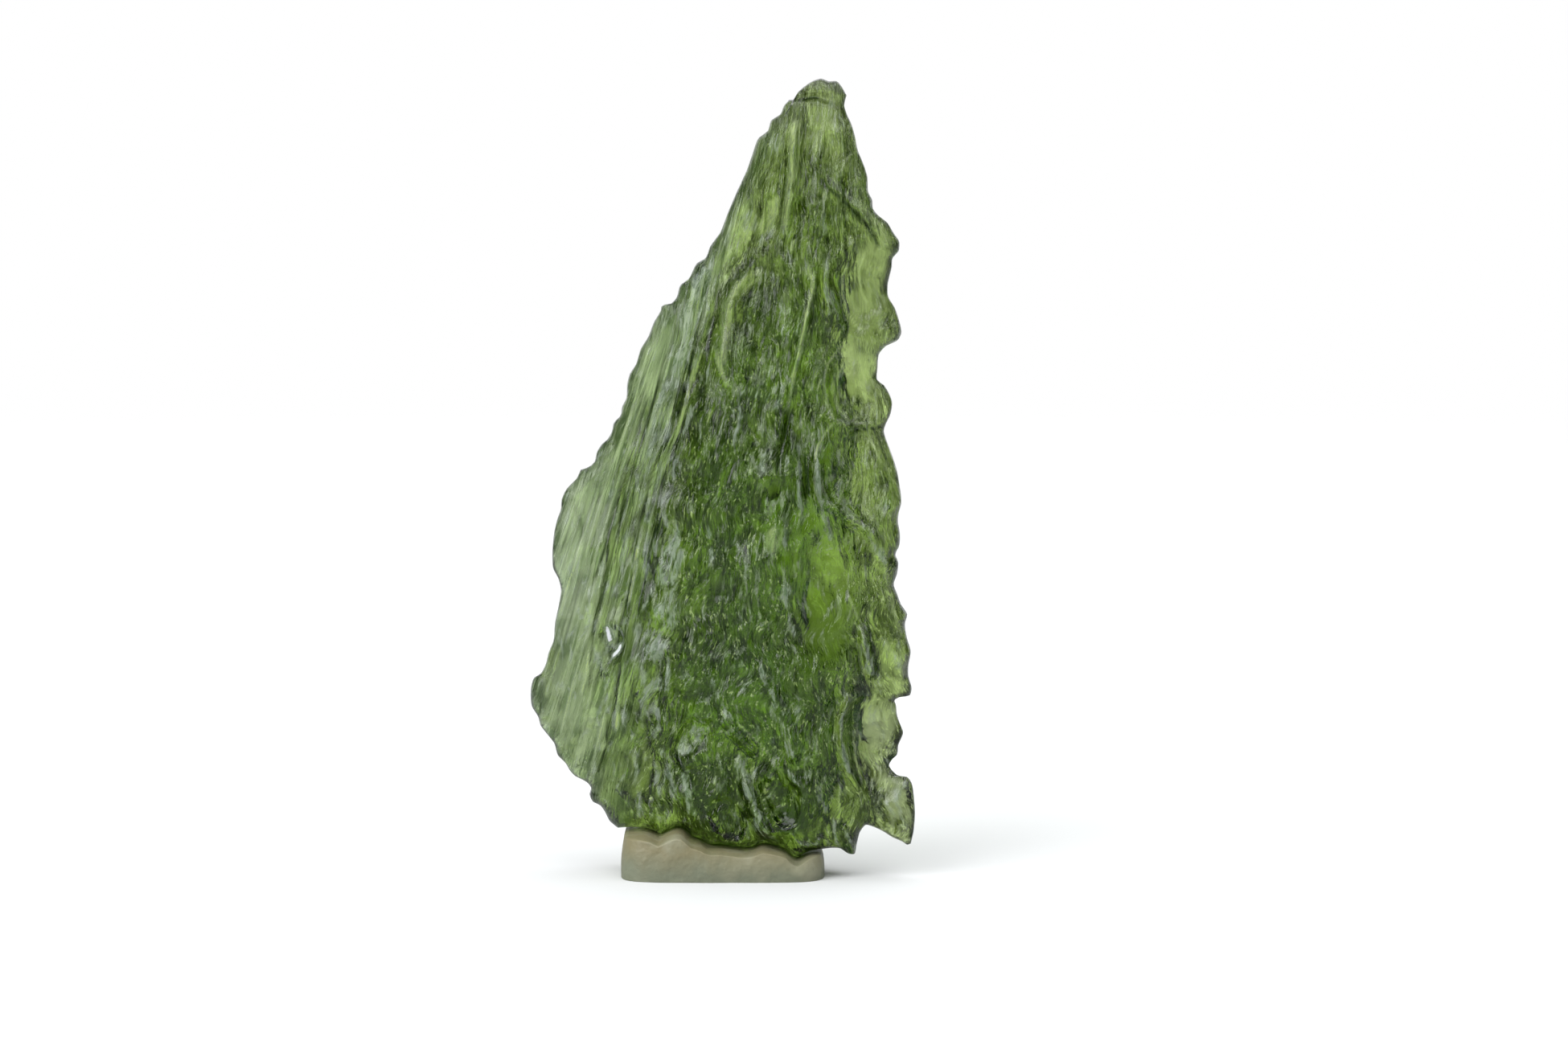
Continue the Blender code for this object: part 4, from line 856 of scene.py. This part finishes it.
def paint(mesh):
    """Stores what the glass's material needs at each point.

    flow: the line of the fan, the depth and the height; bent: the same, wavering.
    marks: how light, with painted highlight and painted shade, how frosted, with painted sheen and
    painted glints, and how free of threads it is.
    region: how much it belongs to the flange, how light that part is, and its blotches.
    """
    places = np.empty(len(mesh.vertices) * 3)
    mesh.vertices.foreach_get("co", places)
    x, y, z = (places.reshape(-1, 3) / MM).T
    at_front = np.clip(0.5 + (middle_y(x, z) - y) / 0.1, 0, 1)
    at_back = 1 - at_front

    light, frost_and_sheen, smooth = spot_shares(x, z)
    hollows = sum(scoop_share(x, z, *scoop) for scoop in BACK_SCOOPS)
    front = marks_of(x, z, FRONT_STROKES)
    back = [share * (1 - BACK_FADE * smooth) for share in marks_of(x, z, BACK_STROKES)]
    # the back's scoops get painted shade
    light = (light + front[0]) * at_front + (back[0] - HOLLOW_SHADE * hollows) * at_back
    frost_and_sheen = (frost_and_sheen + front[1]) * at_front + back[1] * at_back
    smooth = smooth + front[2] * at_front + (back[2] + HOLLOW_CALM * hollows) * at_back
    keep_values(mesh, "marks", (light, np.clip(frost_and_sheen, 0, 4), np.clip(smooth, 0, 1)))

    line = fan_line(x, z, FRONT_SEED) + FLOW_AROUND * scoop_relief(x, z, FRONT_SCOOPS)
    keep_values(mesh, "flow", (line, y, z))
    bent_line = line + BENT_ASIDE * noise(line * 1.3, z * 0.6, 81)
    bent_z = z + BENT_UP * noise(line * 1.3, z * 0.6, 82)
    keep_values(mesh, "bent", (bent_line, y, bent_z))

    lightness = sum(gain * area_share(x, z, *area) for *area, gain in FRONT_AREAS) * at_front
    blotches = at_front * clouded(bent_line, bent_z, 84) + at_back * clouded(bent_line, bent_z, 94)
    keep_values(mesh, "region", (flange_share(x, z), lightness, blotches))


def underside_of_stone(x):
    """Height of the stone's lower edge above each x of the pad."""
    edge = along_edge(BOTTOM_EDGE, 0, np.linspace(0, 1, EDGE_STEPS))
    return np.interp(x, edge[:, 0], edge[:, 1])


def pad_shape(corner):
    """Where a point of a cube from -1 to 1 lies on the pad, in metres."""
    a, b, c = corner
    outward = max(abs(a), abs(b))
    if outward > 0:
        rounded = outward / (abs(a) ** PAD_CORNER + abs(b) ** PAD_CORNER) ** (1 / PAD_CORNER)
        a, b = a * rounded, b * rounded
    rise = (c + 1) / 2
    swell = 1 + PAD_BULGE * np.sin(np.pi * rise) * outward**4
    middle = (PAD_LEFT + PAD_RIGHT) / 2
    half_long = (PAD_RIGHT - PAD_LEFT) / 2 - PAD_NARROWS * rise
    x = middle + a * half_long * (1 + (swell - 1) * 0.4)
    y = b * PAD_DEPTH / 2 * (swell + PAD_UNEVEN * float(noise(np.array(x / 1.7), np.array(b), 5)))
    top = float(underside_of_stone(x)) + PAD_LAP
    droop = PAD_DROOP * outward**6
    return x * MM, y * MM, max(rise * (top - droop), 0) * MM


def putty_piece():
    shape = bmesh.new()
    bmesh.ops.create_cube(shape, size=2)
    bmesh.ops.subdivide_edges(shape, edges=shape.edges, cuts=PAD_CUTS, use_grid_fill=True)
    for vert in shape.verts:
        vert.co = pad_shape(vert.co)
    putty = placed("putty", shape)
    putty.data.shade_smooth()
    return putty


class Value:
    """A node's output, which can be used in plain sums."""

    def __init__(self, nodes, socket):
        self.nodes, self.socket = nodes, socket

    def with_other(self, operation, other):
        return self.nodes.add("Math", {0: self, 1: other}, operation=operation)

    def __add__(self, other):
        return self.with_other("ADD", other)

    def __mul__(self, other):
        return self.with_other("MULTIPLY", other)

    def at_least(self, other):
        return self.with_other("MAXIMUM", other)

    def ramp(self, starts, ends, low=0.0, high=1.0, shape="LINEAR"):
        """Low where the value is at starts or beyond it, high where it is at ends."""
        bounds = {"From Min": starts, "From Max": ends, "To Min": low, "To Max": high}
        return self.nodes.add("MapRange", {"Value": self, **bounds}, interpolation_type=shape)

    def ranged(self, low, high):
        """From low to high, for a value that runs from 0 to 1."""
        return self.ramp(0.0, 1.0, low, high)


class Nodes:
    """A material's or a world's node tree, built by short calls."""

    def __init__(self, owner):
        owner.use_nodes = True
        self.tree = owner.node_tree
        self.tree.nodes.clear()

    def add(self, kind, inputs, output=0, **settings):
        """Adds a node and gives one of its outputs, by its number or name."""
        node = self.tree.nodes.new("ShaderNode" + kind)
        for name, value in settings.items():
            setattr(node, name, value)
        for name, value in inputs.items():
            if isinstance(value, Value):
                self.tree.links.new(value.socket, node.inputs[name])
            else:
                node.inputs[name].default_value = value
        return Value(self, node.outputs[output]) if node.outputs else None

    def parts(self, vector):
        split = self.add("SeparateXYZ", {"Vector": vector})
        return [Value(self, socket) for socket in split.socket.node.outputs]

    def stored(self, name):
        return self.add("Attribute", {}, "Vector", attribute_name=name)

    def mixed(self, share, first, second):
        return self.add("Mix", {"Factor": share, 2: first, 3: second})

    def blended(self, share, first, second):
        """One colour where the share is 0, the other where it is 1."""
        return self.add("Mix", {"Factor": share, 6: first, 7: second}, 2, data_type="RGBA")

    def stretched(self, place, stretch):
        return self.add("VectorMath", {0: place, 1: stretch}, operation="MULTIPLY")

    def noise(self, place, scale, detail, rough=0.5):
        inputs = {"Vector": place, "Scale": scale, "Detail": detail, "Roughness": rough}
        return self.add("TexNoise", inputs, "Fac")

    def drawn_out(self, place, stretch, detail, low, high):
        """Noise drawn out along the flow, 0 where it is low and 1 where it is high."""
        return self.noise(self.stretched(place, stretch), 1.0, detail, 0.6).ramp(low, high)

    def crests(self, place, stretch):
        """0 in small cells drawn out along the flow, and 1 on the crests between them."""
        cells = {"Vector": self.stretched(place, stretch), "Scale": 1.0}
        return self.add("TexVoronoi", cells, "Distance").ramp(0.25, 0.8)

    def seen_by_camera(self):
        return self.add("LightPath", {}, "Is Camera Ray")


def glass_material():
    """Threads, blotches and crests make the tone, the crests with a painted highlight; cracks
    painted dark as painted shade, bright threads, painted glinting flecks, frost with a painted
    sheen and painted glints lie on it.
    """
    glass = bpy.data.materials.new("green_glass")
    nodes = Nodes(glass)
    flow, bent = nodes.stored("flow"), nodes.stored("bent")
    light, frost_and_sheen, smooth = nodes.parts(nodes.stored("marks"))
    flange, lightness, blotches = nodes.parts(nodes.stored("region"))

    strands = nodes.mixed(flange, nodes.drawn_out(bent, *FIBRES), nodes.drawn_out(flow, *THREADS))
    crests = nodes.crests(bent, CELLS) * flange.ranged(1.0, 0.2)
    # painted highlight on the crests; the light marks add painted highlight and painted shade
    tone = strands * flange.ranged(0.32, 0.42) + blotches * 0.34 + crests * 0.3
    tone = nodes.mixed(smooth * 0.8, tone, 0.52) + lightness + light.ramp(0.0, 1.0) * 0.5
    darkest = nodes.blended(flange, BODY_DARK, FLANGE_DARK)
    lightest = nodes.blended(flange, BODY_LIGHT, FLANGE_LIGHT)
    colour = nodes.blended(tone.ramp(0.22, 0.72), darkest, lightest)
    # painted shade along the cracks
    colour = nodes.blended(light.ramp(0.0, -1.0), colour, CRACK_SHADE_COLOUR)

    specks = nodes.drawn_out(bent, *SPECKS) + smooth * -0.08
    # painted glints: small bright flecks
    painted_glint_flecks = specks.ramp(0.58, 0.68) * flange.ranged(0.85, 0.3)
    bright = (light.ramp(0.1, 0.65) * strands.ranged(0.5, 1.0)).at_least(painted_glint_flecks)
    colour = nodes.blended(bright, colour, BRIGHT_COLOUR)
    # frost with a painted sheen: greyer where the glass is frosted
    streaks = nodes.drawn_out(bent, *STREAKS) + frost_and_sheen * 0.23 + specks * 0.3
    frost_sheen_mask = streaks.ramp(0.72, 0.92)
    veins = (specks + strands * 0.15).ramp(0.42, 0.62)
    colour = nodes.blended(frost_sheen_mask, colour, nodes.blended(veins, FROST_SHEEN_DARK, FROST_SHEEN_LIGHT))
    # painted glints: white where a facet would mirror the light
    painted_glint = (frost_and_sheen + specks * -2.5).ramp(1.0, 1.7)
    colour = nodes.blended(painted_glint, colour, PAINTED_GLINT_COLOUR)

    height = (strands * 0.7 + crests * 0.8) * smooth.ranged(1.0, 0.2)
    bump = nodes.add("Bump", {"Height": height, "Strength": 1.0, "Distance": GLASS_BUMP})
    clear = bright.at_least(frost_sheen_mask).ranged(1.0, 0.6) * painted_glint.ranged(1.0, 0.0)
    surface = nodes.add("BsdfPrincipled", {
        "Base Color": colour,
        "IOR": GLASS_IOR,
        "Transmission Weight": clear,
        "Roughness": strands.ranged(0.18, 0.09),
        "Normal": bump,
    })
    surface.socket.node.inputs["Transmission Weight"].default_value = 1.0
    depth = nodes.add("VolumeAbsorption", {"Color": GLASS_DEPTH_COLOUR, "Density": 1 / MM})
    nodes.add("OutputMaterial", {"Surface": surface, "Volume": depth})
    return glass


def putty_material():
    """Warm and brownish under the stone, greyer towards the bottom, with pale and dark clouds."""
    putty = bpy.data.materials.new("pale_putty")
    nodes = Nodes(putty)
    place = nodes.add("TexCoord", {}, "Object")
    height = nodes.parts(place)[2]
    clouds = nodes.noise(place, CLOUD_SCALE, 3.0)
    grain = nodes.noise(place, GRAIN_SCALE, 2.0)
    warm = (height.ramp(0.0, WARM_OVER) + clouds * 0.9).ramp(0.55, 1.15)
    colour = nodes.blended(warm, PUTTY_GREY, PUTTY_BROWN)
    colour = nodes.blended(clouds.ramp(0.5, 0.7) * 0.6, colour, PUTTY_PALE)
    rough = clouds + grain * 0.3
    bump = nodes.add("Bump", {"Height": rough, "Strength": 0.6, "Distance": PUTTY_BUMP})
    surface = {"Base Color": colour, "Roughness": 0.45, "Normal": bump}
    nodes.add("OutputMaterial", {"Surface": nodes.add("BsdfPrincipled", surface)})
    return putty


def build_world():
    """A dim room with soft glows, which the camera sees as plain white."""
    world = bpy.data.worlds.new("studio")
    bpy.context.scene.world = world
    nodes = Nodes(world)
    way = nodes.add("TexCoord", {}, "Generated")
    level = ROOM_DIMMEST
    for direction, starts, full, gain in ROOM_GLOWS:
        both = {0: way, 1: Vector(direction).normalized()}
        towards = nodes.add("VectorMath", both, "Value", operation="DOT_PRODUCT")
        level = towards.ramp(starts, full, 0.0, gain, "SMOOTHSTEP") + level
    light = nodes.add("Background", {"Color": ROOM_TINT, "Strength": level})
    plain = nodes.add("Background", {"Color": WHITE, "Strength": 1.0})
    room = nodes.add("MixShader", {0: nodes.seen_by_camera(), 1: light, 2: plain})
    nodes.add("OutputWorld", {"Surface": room})


def build_floor():
    shape = bmesh.new()
    bmesh.ops.create_circle(shape, cap_ends=True, radius=FLOOR_RADIUS, segments=96)
    floor = placed("floor", shape)
    plain = bpy.data.materials.new("plain_floor")
    nodes = Nodes(plain)
    place = nodes.add("TexCoord", {}, "Object")
    away = nodes.add("VectorMath", {0: place}, "Value", operation="LENGTH")
    matte = nodes.add("BsdfDiffuse", {"Color": nodes.seen_by_camera().ranged(*FLOOR_SHADES)})
    clear = nodes.add("BsdfTransparent", {})
    fade = away.ramp(*FLOOR_FADE, shape="SMOOTHSTEP")
    nodes.add("OutputMaterial", {"Surface": nodes.add("MixShader", {0: fade, 1: matte, 2: clear})})
    floor.data.materials.append(plain)


def build_camera():
    """Aims at the middle of the frame from the front and a little above."""
    distance = LENS / SENSOR * FRAME_WIDTH
    rise = np.radians(CAMERA_RISE)
    aim = Vector(AIM)
    place = aim + Vector((0, -np.cos(rise), np.sin(rise))) * distance
    camera = bpy.data.objects.new("camera", bpy.data.cameras.new("camera"))
    camera.location = place * MM
    camera.rotation_euler = (aim - place).to_track_quat("-Z", "Y").to_euler()
    camera.data.lens, camera.data.sensor_width = LENS, SENSOR
    camera.data.clip_start, camera.data.clip_end = CAMERA_REACH
    bpy.context.scene.collection.objects.link(camera)
    bpy.context.scene.camera = camera


def build_pieces():
    stone = stone_piece()
    stone.data.materials.append(glass_material())
    putty = putty_piece()
    putty.data.materials.append(putty_material())
    for piece, node, slot in (
        (stone, "moldavite", "green_glass"),
        (putty, "putty_pad", "pale_putty"),
    ):
        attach(piece, "root")
        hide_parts(node)


def set_render_look():
    scene = bpy.context.scene
    scene.view_settings.view_transform = "Standard"
    scene.cycles.max_bounces = BOUNCES
    scene.cycles.transmission_bounces = BOUNCES
    scene.cycles.transparent_max_bounces = BOUNCES


BACK_STROKES = drawn_strokes(BACK_CHANCE, BACK_KINDS, BACK_LEAST, BACK_MOST, BACK_WAVER)
FRONT_STROKES += drawn_strokes(
    FLANGE_CHANCE, FLANGE_KINDS, FLANGE_LEAST, FLANGE_MOST, FLANGE_WAVER
)
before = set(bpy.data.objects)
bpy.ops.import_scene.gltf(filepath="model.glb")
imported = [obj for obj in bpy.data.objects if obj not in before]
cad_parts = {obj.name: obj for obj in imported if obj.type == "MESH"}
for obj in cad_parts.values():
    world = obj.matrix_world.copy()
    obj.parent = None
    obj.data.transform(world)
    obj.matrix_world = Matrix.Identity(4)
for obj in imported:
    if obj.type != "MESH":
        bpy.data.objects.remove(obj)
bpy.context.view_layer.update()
build_pieces()
build_floor()
build_world()
build_camera()
set_render_look()
